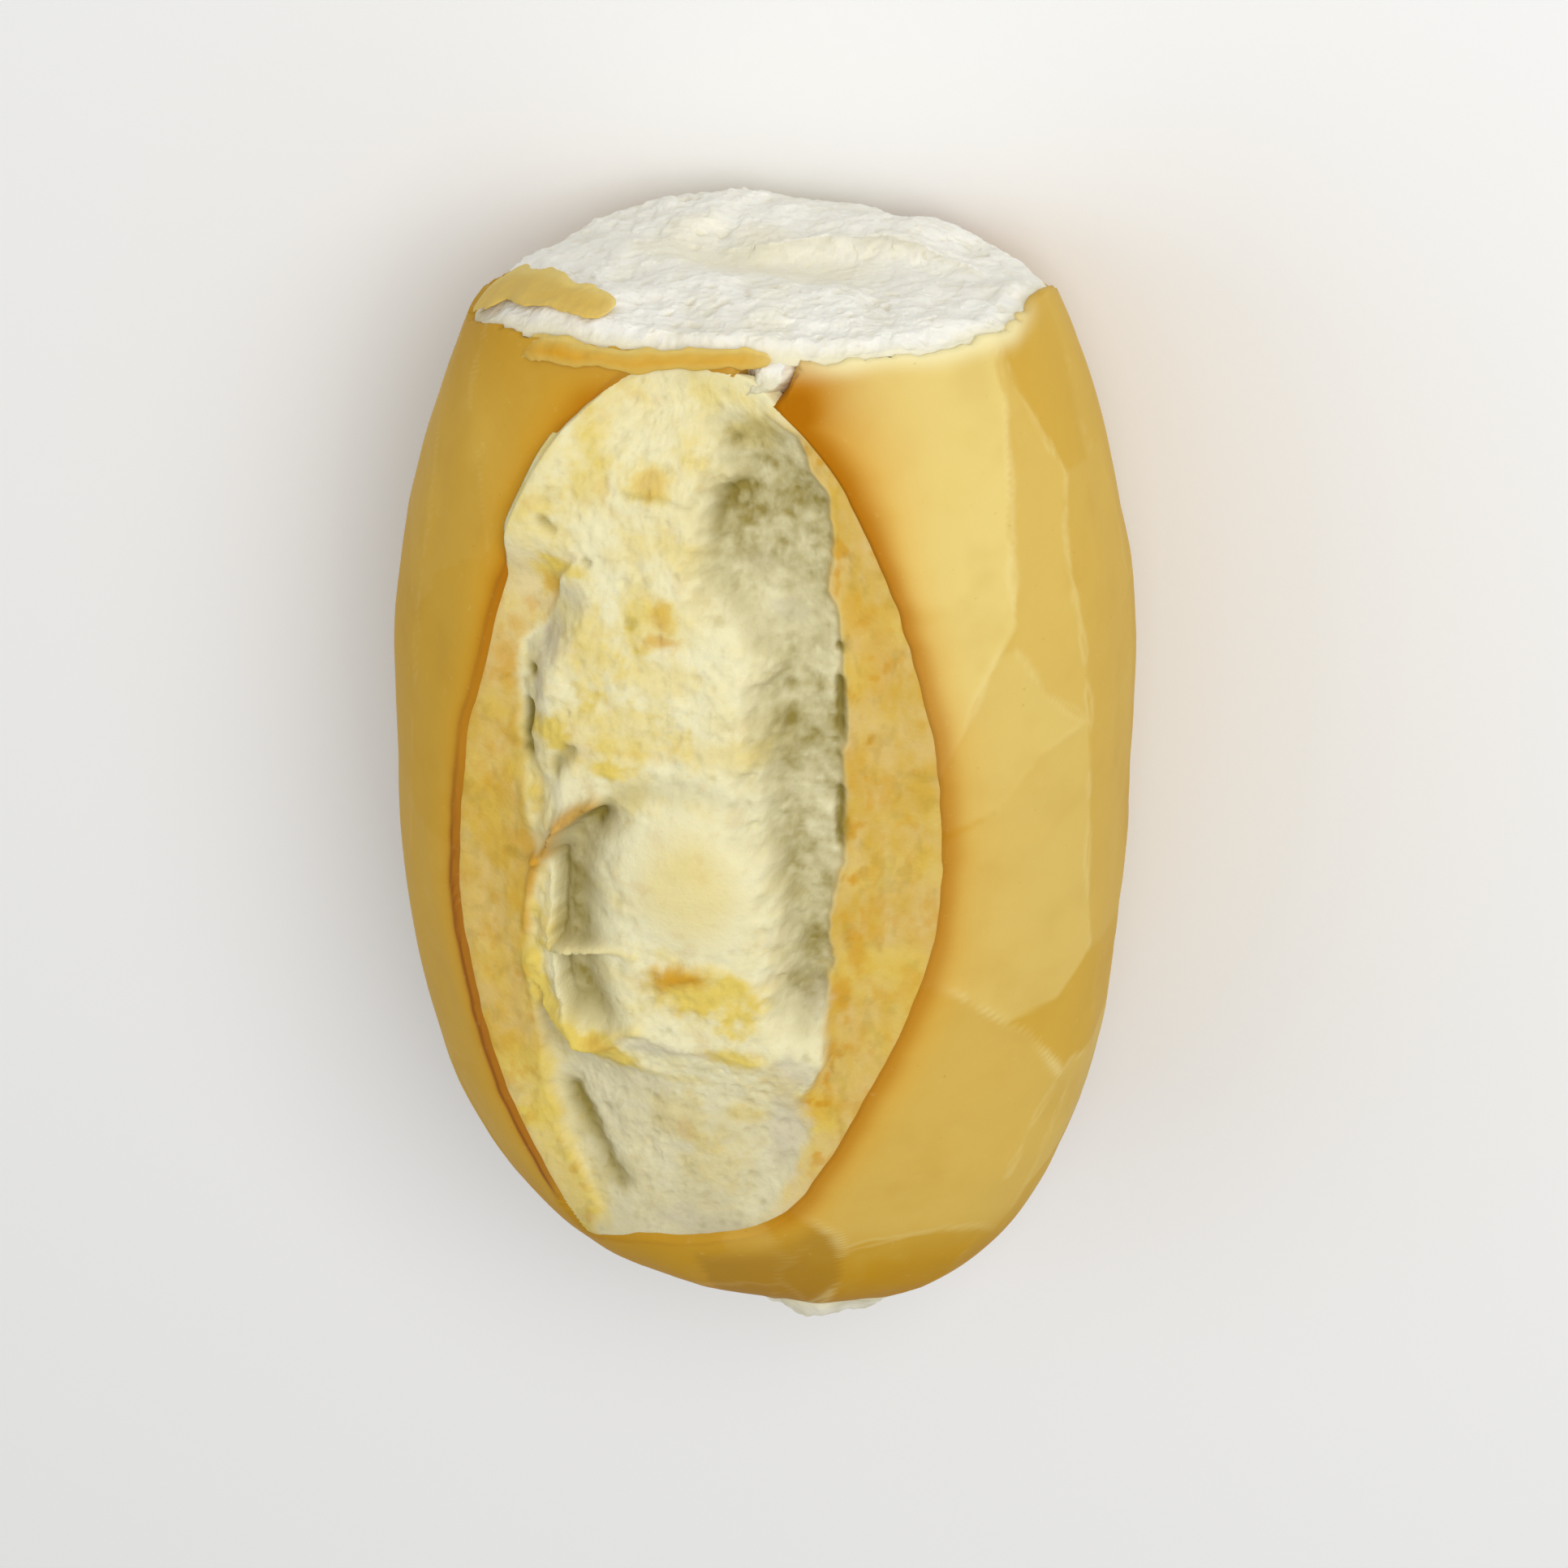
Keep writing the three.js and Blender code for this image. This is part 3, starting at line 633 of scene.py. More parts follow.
    def relief(self, y: Array, angle: Array, point: Array) -> tuple[Array, dict[str, Array]]:
        """Height of the folds, with their pale lines, how pale each panel is, and the dull flake.

        A fold is a ridge that falls away exponentially on both sides, so that the crust between
        folds lies nearly flat.

        Args:
            y, angle: Stations and angles (rows, columns).
            point: Points of the smooth roll there.

        Returns:
            Height in millimetres, and named numbers for the finish from 0 to 1.
        """
        degrees = np.degrees(angle)
        waver = fractal(point[..., 0] + point[..., 2], y, self.waver_size, Seed.WAVER, 3)
        edge, tone = self.network(y + 1.6 * waver, angle + 0.05 * waver)
        from_tail, *turned = self.drawn_right
        right = smooth_step(*from_tail, y) * (1 - between(*turned, degrees))
        from_tail, *turned = self.drawn_left
        left = between(*turned, degrees) * smooth_step(*from_tail, y)
        hidden = np.clip(1 - right - left, 0, 1)
        faint = self.faint * hidden * (1 - 0.75 * between(*self.underneath, degrees))
        height = faint * np.exp(-edge / self.fold_reach)
        line = 0.35 * faint * bell(edge, self.line_width)
        flat = point.reshape(-1, 3)
        high, size = self.wobble
        wobble = high * fractal(point[..., 0], point[..., 1], size, Seed.WOBBLE, 4)
        for fold in self.folds:
            stations, turns = np.array(fold.corners).T
            fine = np.linspace(0, len(stations) - 1, self.corner_steps * len(stations))
            order = np.arange(len(stations))
            station, turn = (np.interp(fine, order, values) for values in (stations, turns))
            path = self.form.point(station, np.radians(turn))
            gap = np.abs(path_gap(flat, path).reshape(y.shape) + wobble)
            height = np.maximum(height, fold.strength * np.exp(-gap / self.fold_reach))
            width = self.line_width * (0.5 + fold.strength)
            line = np.maximum(line, min(0.75 * fold.strength, 1.0) * bell(gap, width))
        bent, wavy = y + 0.35 * waver, angle + 0.012 * waver
        light, dusk = self.light(bent, wavy, tone), self.within(bent, wavy, self.flake)
        return self.fold_height * height, {"crease": line, "light": light, "dusk": dusk}


@dataclass(frozen=True)
class Burst:
    """The oval opening along the top, where the crust split in the oven.

    Lips, steps and the valley's edge are paths of (station, sideways place). The other lines are
    paths of (sideways place, station) in plan.
    """

    left_lip: Path = ((-48.5, -12.4), (-43, -15.5), (-36, -18), (-30.5, -20.8), (-24, -22.8), (-15, -25),
                      (-8, -26.1), (5, -26), (11, -25.1), (19.5, -23.2), (27, -21.5), (35.5, -19.2),
                      (40.5, -17.3), (46.5, -14.8), (50.2, -12.4), (53.4, -10), (55.2, -7.8), (56.6, -1.5))
    right_lip: Path = ((-48.5, -12.4), (-45.8, -6.9), (-43, 1.6), (-39.8, 8), (-35.5, 12.2), (-28.5, 15.6),
                       (-22, 18.5), (-14.5, 21.5), (-8, 23.8), (-2, 25), (6.5, 25.3), (15.5, 24.7),
                       (23, 23.4), (29, 21.8), (36, 19.2), (42, 16.4), (48, 12.8), (51.4, 9.2), (54, 5.8),
                       (56.2, 3.2), (56.6, -1.5))
    lip_rounds: int = 2
    notch: Path = ((5.0, 56.2), (6.0, 60.0))
    notch_width: float = 2.2
    lip_swell: float = 0.4
    lip_width: float = 3.4
    ledge_drop: float = 1.2
    ledge_fall: float = 0.9
    ledge_reach: float = 9.0
    left_step: Path = ((-46, -11.5), (-42.8, -10.8), (-38.1, -12.7), (-33.8, -14.6), (-29.8, -15.8),
                       (-26.3, -16.4), (-21, -17), (-12.1, -17.6), (-8.8, -17.9), (0.4, -17), (7.9, -17.8),
                       (12.2, -18.7), (18.7, -19.2), (24.7, -18.8), (28.5, -15.8), (33.9, -13.8),
                       (35.7, -12), (38.9, -14.9), (43.2, -15.3), (46, -13))
    right_step: Path = ((-38, 8.5), (-34.8, 10.5), (-30.8, 11.7), (-27.6, 13.2), (-25.1, 11.8),
                        (-21.6, 12.7), (-16.8, 14.8), (-12.6, 14.7), (-7.8, 15), (-0.1, 14.9), (2.4, 15.2),
                        (5.9, 16.1), (12.7, 15.8), (19.4, 15.7), (25.4, 15.4), (29.4, 14.9), (33.4, 14.3),
                        (35.9, 13.2), (38.9, 13.5), (42.4, 12.8), (45.9, 12.1), (48.2, 10.2), (50.9, 8.6),
                        (53, 5))
    valley_edge: Path = ((-14, 11.6), (-6.3, 11.4), (0.2, 10.2), (5.4, 8.8), (9.9, 7.8), (15.9, 7.4),
                         (22.7, 8), (28.9, 6.8), (34.4, 3), (37.2, 0.8), (42.4, 1.1), (46.9, 2.7),
                         (53.4, 0.7))
    floor_drop: float = 1.3
    bulge_height: float = 3.0
    blister: tuple[float, float, float, float, float] = (1.0, 3.3, 7.4, 8.8, 1.1)
    hollow: Path = ((-20, -10.6), (-15.8, -11.7), (-11.1, -13.1), (-7.8, -13.9), (-4.3, -13.8),
                    (-1.1, -13.8), (1.9, -14), (5.4, -13.4), (8.5, -11.3), (11, -8.8))
    hollow_depth: float = 2.8
    lower_edge: Path = ((-18, -13), (-15.7, -17.3), (-10.8, -19.6), (-5.6, -21.1), (2.9, -22.1),
                        (9.3, -24.3), (14, -26))

    @cached_property
    def lips(self) -> tuple[Array, Array]:
        """Left and right lip, with their corners rounded."""
        return cut_corners(self.left_lip, self.lip_rounds), cut_corners(self.right_lip, self.lip_rounds)

    def ends(self) -> tuple[float, float]:
        """Stations of the burst's two ends."""
        return self.left_lip[0][0], self.left_lip[-1][0]

    def sides(self, y: Array) -> tuple[Array, Array]:
        """Sideways places of both lips at a station."""
        left, right = self.lips
        return np.interp(y, left[:, 0], left[:, 1]), np.interp(y, right[:, 0], right[:, 1])

    def middle(self, y: Array) -> Array:
        """Sideways place of the burst's middle line at a station."""
        return 0.5 * sum(self.sides(y))

    def half_width_at(self, y: Array) -> Array:
        """Half width of the burst at a station."""
        left, right = self.sides(y)
        return 0.5 * (right - left)

    def notch_gap(self, x: Array, y: Array) -> Array:
        """Distance outside the notch in the torn edge, where burst crumb and torn crumb meet."""
        return plan_gap(x, y, self.notch) - self.notch_width

    def gap(self, x: Array, y: Array) -> Array:
        """Distance outside the lip line, negative inside, with a small waver."""
        flat = np.stack([y.ravel(), x.ravel()], axis=1)
        left, right = self.lips
        outline = np.concatenate([left, right[::-1]])
        gap = np.minimum(path_gap(flat, left), path_gap(flat, right))
        gap = np.where(inside_path(flat, outline), -gap, gap).reshape(x.shape)
        for height, size, seed in ((0.2, 7.0, Seed.LIP_WAVER), (0.13, 1.9, Seed.LIP_FINE)):
            gap = gap + height * soft_noise(x / size, y / size, seed)
        return gap

    def taper(self, y: Array) -> Array:
        """How deep the burst is at a station, from 0 at its ends to 1."""
        return smooth_step(0, 9, self.half_width_at(y)) * (0.4 + 0.6 * smooth_step(-46, -30, y))

    def lip(self, gap: Array, y: Array) -> Array:
        """Swell of the crust's lip beside the burst."""
        swell = self.lip_swell * bell(gap - 0.5 * self.lip_width, self.lip_width)
        return swell * (0.4 + 0.6 * self.taper(y))


# Length of one dash of a dashed rib.
DASH = 1.3


@dataclass(frozen=True)
class Rib:
    """A line of the burst's crumb in plan, raised or sunk, with the colour it brings.

    Attributes:
        corners: Its path of (sideways place, station).
        width: Its half width, where a Gaussian falls to a third.
        height: How far it stands up, or sinks if negative.
        tone: The number of the finish that it adds to, and how much.
        clears: Share of the shade and of the hollow that it takes away.
        end: Its strength at its end, against 1 at its start.
        dashed: Whether it is broken into dashes.
    """

    corners: Path
    width: float
    height: float
    tone: tuple[str, float] = ("toast", 0.0)
    clears: float = 0.0
    end: float = 1.0
    dashed: bool = False

    def share(self, x: Array, y: Array, ragged: Array) -> Array:
        """How strong it is at each point, from 0 to 1."""
        points = np.stack([x.ravel(), y.ravel()], axis=1)
        path = cut_corners(self.corners, 2)
        gap, place = (values.reshape(x.shape) for values in path_nearest(points, path))
        strength = 1 - (1 - self.end) * place
        if self.dashed:
            length = np.linalg.norm(np.diff(path, axis=0), axis=1).sum() * place
            strength = strength * smooth_step(-0.2, 0.5, soft_noise(length / DASH, 0 * length, Seed.DASHES))
        return strength * bell(gap + 0.3 * self.width * ragged, self.width)


@dataclass(frozen=True)
class Blot:
    """A patch of colour on the burst's crumb: its number, strength, middle and half sizes in plan."""

    number: str
    strength: float
    middle: tuple[float, float]
    half: tuple[float, float]

    def share(self, x: Array, y: Array, ragged: Array) -> Array:
        """How strong it is at each point: whole inside its oval, with a torn, soft edge."""
        reach = np.hypot((x - self.middle[0]) / self.half[0], (y - self.middle[1]) / self.half[1])
        return self.strength * fade(0.3, 1.35, reach + 0.6 * ragged)


RIBS = (
    # The membrane across the lower end, its arm, and the pale ridge over it.
    Rib(((-17.6, -12.1), (-17.4, -15.1), (-15.7, -17.3), (-13.1, -17.8), (-10.8, -19.6), (-8.2, -20.8),
         (-5.6, -21.1), (-2.1, -21.3), (1.5, -22.1)), 1.4, 1.2, ("toast", 1.0), 1.0, 0.0),
    Rib(((-11.5, -19.4), (-8.9, -19.1), (-7.2, -16.8), (-4.6, -15.1)), 0.75, 1.0, ("toast", 0.9), 1.0, 0.5),
    Rib(((-4.6, -15.3), (-0.6, -16.8), (3.7, -16.1), (7.5, -17.6), (9.5, -16.6), (10.7, -14.3)), 0.8, 0.45,
        clears=0.8, end=0.3),
    # The curled flake at the left of the hollow: cream body, browned rim and stem, and a thin web.
    Rib(((-17.6, 7.4), (-17.4, 3.8), (-15.0, 5.6)), 1.7, 0.9, clears=1.0),
    Rib(((-9.1, 10.4), (-11.7, 8.4), (-13.6, 5.7), (-15.1, 2.4), (-16.8, 0.4)),
        0.7, 1.3, ("orange", 0.85), 1.0),
    Rib(((-16.8, 0.4), (-17.8, -2.1), (-18.4, -5.6), (-18.5, -8.8)), 0.5, 0.6, ("orange", 0.8), 1.0, 0.6),
    Rib(((-15.8, 1.0), (-16.3, -3.6), (-16.1, -8.6)), 0.95, 0.25, clears=1.0),
    Rib(((-17.0, -9.6), (-14.0, -8.6), (-10.0, -7.3), (-7.1, -6.1), (-4.7, -6.3)),
        0.42, 0.25, ("toast", 0.35), 1.0),
    # The pit of the lower end, and the browned ridge between it and the lip.
    Rib(((-13.9, -28.6), (-12.2, -31.8), (-10.4, -35.0), (-8.6, -38.4)),
        1.25, -1.1, ("shade", 0.8), 0, 0.7),
    Rib(((-16.8, -25.5), (-16.4, -29.8), (-15.4, -33.8), (-13.6, -38.1), (-11.6, -42.8)), 1.8, 0.35,
        ("toast", 0.25), 1.0),
    # The groove round the blister's top and left, and the browned crest under it.
    Rib(((-9.8, 8.9), (-8.1, 10.4), (-5.0, 12.4), (-1.7, 13.4), (1.7, 13.7), (5.0, 12.7)),
        1.3, -0.6, ("shade", 0.4),
        0, 0.3),
    Rib(((-1.6, -8.6), (0.0, -7.6), (1.6, -7.4)), 1.1, 0.4, ("orange", 0.62)),
    Rib(((-0.4, -8.2), (1.6, -6.6), (4.5, -6.2), (6.6, -7.4), (8.3, -10.5)),
        0.8, 0.4, ("toast", 0.7), 0, 0.4),
    # Folds and dashes of open pores.
    Rib(((3.0, 45.4), (1.5, 42.9), (1.5, 40.9)), 0.8, -0.6, ("shade", 0.45)),
    Rib(((-15.4, 38.9), (-13.1, 36.7), (-10.9, 35.7)), 0.5, -0.6, ("shade", 0.6), dashed=True),
    Rib(((-17.6, 22.0), (-17.9, 18.0), (-18.3, 12.2)), 0.65, -0.9, ("shade", 0.95), dashed=True),
    Rib(((-12.2, 15.4), (-13.8, 12.7)), 0.75, -0.7, ("shade", 0.6)),
    Rib(((14.5, 30.0), (14.9, 22.9), (15.0, 18.7), (15.5, 12.7), (15.5, 5.0)), 0.5, -0.8, ("shade", 0.75),
        dashed=True),
    Rib(((-7.6, 43.2), (-4.0, 43.6), (-1.0, 43.0)), 0.3, -0.3, ("shade", 0.22)),
)

BLOTS = (
    # Browned spots of the upper bulge.
    Blot("orange", 0.3, (-4.7, 44.9), (1.6, 1.4)), Blot("orange", 0.4, (-3.0, 32.0), (1.0, 1.6)),
    Blot("toast", 0.6, (-4.9, 44.9), (2.6, 2.2)), Blot("orange", 0.5, (-3.1, 29.4), (1.8, 0.8)),
    Blot("shade", 0.3, (-6.1, 30.7), (0.8, 0.7)),
    Blot("toast", 0.5, (-4.0, 31.0), (4.0, 3.0)), Blot("toast", 0.4, (4.3, 50.9), (3.2, 1.6)),
    Blot("toast", 0.5, (-9.6, 27.0), (2.8, 5.5)), Blot("toast", 0.4, (-3.5, 25.2), (4.5, 3.0)),
    Blot("toast", 0.45, (-6.5, 19.0), (6.0, 4.0)), Blot("toast", 0.35, (4.0, 18.4), (5.5, 2.2)),
    Blot("toast", 0.8, (-15.6, 32.4), (1.6, 2.6)), Blot("toast", 0.7, (-13.0, 34.7), (2.4, 0.9)),
    Blot("orange", 0.5, (-15.6, 31.8), (1.2, 1.2)), Blot("toast", 0.7, (-15.0, 16.8), (3.0, 1.4)),
    Blot("toast", 0.5, (-8.0, 14.6), (3.5, 0.9)),
    # The membrane's junction and the browned patches below the blister.
    Blot("toast", 0.9, (-9.4, -19.9), (4.0, 2.4)), Blot("toast", 0.8, (-16.2, -15.0), (1.6, 3.6)),
    Blot("toast", 0.5, (-13.6, -19.5), (3.0, 1.6)), Blot("orange", 0.4, (-9.0, -18.6), (1.6, 0.8)),
    Blot("toast", 0.75, (3.6, -9.3), (5.8, 3.4)), Blot("toast", 0.75, (6.0, -16.8), (3.2, 1.3)),
    Blot("orange", 0.35, (0.4, -7.4), (2.4, 1.5)), Blot("toast", 0.22, (0.8, -10.6), (5.6, 3.2)),
    # The lower end.
    Blot("orange", 0.35, (-0.2, -28.8), (1.0, 1.5)), Blot("toast", 0.5, (6.1, -25.6), (3.4, 1.1)),
    Blot("toast", 0.42, (-0.5, -27.4), (4.6, 3.4)), Blot("toast", 0.42, (2.9, -32.5), (4.0, 4.0)),
    Blot("toast", 0.3, (-1.0, -21.8), (5.0, 0.8)),
    # The ledges.
    Blot("orange", 0.65, (17.3, -4.6), (1.0, 2.2)), Blot("orange", 0.7, (16.0, -8.8), (1.2, 2.6)),
    Blot("orange", 0.5, (16.2, -0.3), (1.0, 1.2)), Blot("orange", 0.5, (13.9, -23.0), (2.2, 2.0)),
    Blot("toast", 0.8, (13.6, -23.3), (3.0, 2.6)), Blot("orange", 0.45, (15.8, 33.5), (1.6, 2.0)),
    Blot("orange", 0.3, (18.0, 30.0), (2.0, 6.0)), Blot("orange", 0.3, (17.2, 16.7), (1.6, 4.0)),
    Blot("orange", 0.5, (-20.4, 22.4), (1.2, 2.0)), Blot("orange", 0.4, (-19.8, 26.4), (1.0, 1.2)),
    Blot("shade", 0.35, (-19.3, 0.0), (1.4, 0.9)), Blot("shade", 0.35, (-16.0, 7.9), (0.8, 0.7)),
    # Grey-lilac patches of painted shade, where the crumb lies in its own shade.
    Blot("lilac", 0.85, (13.2, -9.6), (1.7, 2.4)), Blot("lilac", 0.7, (11.7, -17.6), (2.6, 2.0)),
    Blot("lilac", 0.75, (10.6, -26.0), (2.2, 5.5)), Blot("lilac", 0.7, (-2.6, -17.6), (3.6, 1.2)),
    Blot("lilac", 0.55, (-12.4, 32.0), (1.8, 1.8)), Blot("lilac", 0.7, (-15.0, 27.0), (1.3, 3.8)),
    Blot("lilac", 0.8, (-16.2, 22.0), (1.2, 4.0)), Blot("lilac", 0.5, (9.0, 33.0), (2.2, 1.4)),
    Blot("lilac", 0.4, (6.0, 38.0), (2.4, 1.4)), Blot("lilac", 0.5, (2.0, -41.0), (5.0, 2.0)),
)


# ---- Finishes -----------------------------------------------------------------------------


def linear(colour: str) -> tuple[float, float, float, float]:
    """Linear colour from an sRGB hex value such as '#e4c873'."""
    shares = [int(colour[place:place + 2], 16) / 255.0 for place in (1, 3, 5)]
    light = [share / 12.92 if share <= 0.04045 else ((share + 0.055) / 1.055) ** 2.4 for share in shares]
    return (*light, 1.0)


def add_node(tree: bpy.types.NodeTree, kind: str, settings: dict[str | int, Any] | None = None,
             links: dict[str | int, bpy.types.NodeSocket | None] | None = None) -> bpy.types.Node:
    """Adds one node.

    Args:
        tree: The material's node tree.
        kind: The node's type name.
        settings: Values by name, of the node itself, or by name or number, of its inputs.
        links: Sockets to link, by the name or number of the input that they feed; None links nothing.

    Returns:
        The new node.
    """
    node = tree.nodes.new(kind)
    for key, value in (settings or {}).items():
        if isinstance(key, str) and hasattr(node, key):
            setattr(node, key, value)
        else:
            node.inputs[key].default_value = value
    for key, socket in (links or {}).items():
        if socket is not None:
            tree.links.new(socket, node.inputs[key])
    return node


@dataclass(frozen=True)
class Coat:
    """One colour laid over those below it.

    Attributes:
        colour: Its sRGB hex value.
        most: How much of the colours below it covers at most.
        number: The mesh's number that spreads it, or nothing where it lies everywhere.
        size: Size in millimetres of the lumps that break it up, or 0 where it is even.
        low, high: Values of the lumps' noise where the colour starts and where it is whole.
    """

    colour: str
    most: float
    number: str = ""
    size: float = 0.0
    low: float = 0.45
    high: float = 0.7

    def share(self, tree: bpy.types.NodeTree, place: bpy.types.NodeSocket) -> bpy.types.NodeSocket:
        """The share of the surface that the colour covers: most, times number, times lumps."""
        share = None
        if self.number:
            share = add_node(tree, "ShaderNodeAttribute", {"attribute_name": self.number}).outputs["Fac"]
        if self.size:
            settings = {"Scale": 1.0 / (self.size * MM), "Detail": 3.0, "Roughness": 0.6}
            lumps = add_node(tree, "ShaderNodeTexNoise", settings, {"Vector": place}).outputs["Fac"]
            span = {"interpolation_type": "SMOOTHSTEP", "From Min": self.low, "From Max": self.high}
            lumps = add_node(tree, "ShaderNodeMapRange", span, {"Value": lumps}).outputs["Result"]
            both = {"operation": "MULTIPLY", 0: 1.0}
            share = add_node(tree, "ShaderNodeMath", both, {0: share, 1: lumps}).outputs[0]
        most = {"operation": "MULTIPLY", 1: self.most}
        return add_node(tree, "ShaderNodeMath", most, {0: share}).outputs[0]


@dataclass(frozen=True)
class Grain:
    """One bump over the surface: the size and depth of its lumps in millimetres."""

    size: float
    depth: float


@dataclass(frozen=True)
class Finish:
    """A material: coats of colour over a base, grains of bump, and how it shines."""

    name: str
    base: str
    coats: tuple[Coat, ...]
    grains: tuple[Grain, ...]
    roughness: float
    specular: float
    glow: float
    glow_reach: tuple[float, float, float]

    def make(self) -> bpy.types.Material:
        """Mixes the material."""
        material = bpy.data.materials.new(self.name)
        material.use_nodes = True
        tree = material.node_tree
        tree.nodes.clear()
        place = add_node(tree, "ShaderNodeTexCoord").outputs["Object"]
        colour = bump = None
        for coat in self.coats:
            shades = {"data_type": "RGBA", 6: linear(self.base), 7: linear(coat.colour)}
            links = {0: coat.share(tree, place), 6: colour}
            colour = add_node(tree, "ShaderNodeMix", shades, links).outputs[2]
        for grain in self.grains:
            settings = {"Scale": 1.0 / (grain.size * MM), "Detail": 3.0, "Roughness": 0.55}
            lumps = add_node(tree, "ShaderNodeTexNoise", settings, {"Vector": place}).outputs["Fac"]
            links = {"Height": lumps, "Normal": bump}
            bump = add_node(tree, "ShaderNodeBump", {"Distance": grain.depth * MM}, links).outputs[0]
        shader = add_node(tree, "ShaderNodeBsdfPrincipled", {
            "Base Color": linear(self.base),
            "Roughness": self.roughness,
            "Specular IOR Level": self.specular,
            "Subsurface Weight": self.glow,
            "Subsurface Radius": self.glow_reach,
            "Subsurface Scale": MM,
        }, {"Base Color": colour, "Normal": bump})
        add_node(tree, "ShaderNodeOutputMaterial", links={"Surface": shader.outputs[0]})
        return material


# Thin wheat crust, baked in steam on a tray: smooth and satin, gold where it is thick, pale where it split,
# with panels whose paleness is partly painted light and shade for how each faces the light, pale lines along
# the folds, orange-brown at the lips of the burst.
BAKED_CRUST = Finish(
    name="baked_wheat_crust",
    base="#cb9a14",
    coats=(
        # Paler crust: on the panels partly painted light and shade, on the torn shreds their pale side.
        Coat("#e8d07e", 1.0, "light"),
        Coat("#bd8600", 1.0, "deep"),
        Coat("#b88a20", 0.2, "", 12.0, 0.45, 0.75),
        Coat("#e2c668", 0.12, "", 7.0, 0.5, 0.75),
        Coat("#dcc488", 0.6, "belly"),
        Coat("#a97c24", 0.6, "dusk"),
        Coat("#efdd98", 0.55, "crease"),
        Coat("#dc9c0c", 0.9, "gold"),
        Coat("#b06a00", 0.95, "lip"),
        Coat("#8c4e1c", 1.0, "line"),
        Coat("#f4e8b0", 0.9, "edge"),
        Coat("#a57414", 0.3, "", 0.8, 0.68, 0.8),
        Coat("#ecd68c", 0.14, "", 1.1, 0.62, 0.8),
    ),
    grains=(Grain(0.7, 0.02), Grain(4.5, 0.1)),
    roughness=0.5,
    specular=0.04,
    glow=0.05,
    glow_reach=(1.2, 0.7, 0.3),
)

# Crumb that rose through the burst and dried in the oven: cream and dull, toasted yellow where it
# stands proud, tan on the ledges that were the edges of the crust, with painted olive-grey shade in its
# folds, hollows and pores, and painted grey-lilac shade on its lower end.
BURST_CRUMB = Finish(
    name="toasted_crumb",
    base="#f0e9bf",
    coats=(
        Coat("#d3aa38", 1.0, "tan"),
        Coat("#e6cc60", 1.0, "toast"),
        Coat("#d19a26", 1.0, "orange"),
        # Painted grey-lilac shade on the lower end, in the valley and on shaded patches.
        Coat("#d6cdae", 1.0, "lilac"),
        # Painted olive shade: valley, hollow, pits and pores.
        Coat("#8e7d32", 1.0, "shade"),
        Coat("#cdaa44", 0.16, "", 1.3, 0.58, 0.75),
    ),
    grains=(Grain(0.45, 0.08),),
    roughness=0.85,
    specular=0.12,
    glow=0.1,
    glow_reach=(1.5, 1.1, 0.6),
)

# Fresh wheat crumb, torn by hand: white, matte, cottony, and a little translucent at its edges.
TORN_CRUMB = Finish(
    name="fresh_torn_crumb",
    base="#f7f4e9",
    coats=(
        Coat("#ece2b4", 1.0, "edge"),
        # Painted shade in pores and dips, under the brow and at the tongue's foot.
        Coat("#d6cfae", 1.0, "pore_shade"),
        Coat("#e6dfc4", 0.25, "", 2.2, 0.5, 0.75),
    ),
    grains=(Grain(0.4, 0.08),),
    roughness=0.9,
    specular=0.12,
    glow=0.25,
    glow_reach=(1.8, 1.5, 1.0),
)

# Matt white studio paper.
FLOOR_PAPER = Finish("white_paper", "#f6f6f5", (), (Grain(0.5, 0.01),), 0.9, 0.1, 0.0, (1.0, 1.0, 1.0))


# ---- Pieces -------------------------------------------------------------------------------


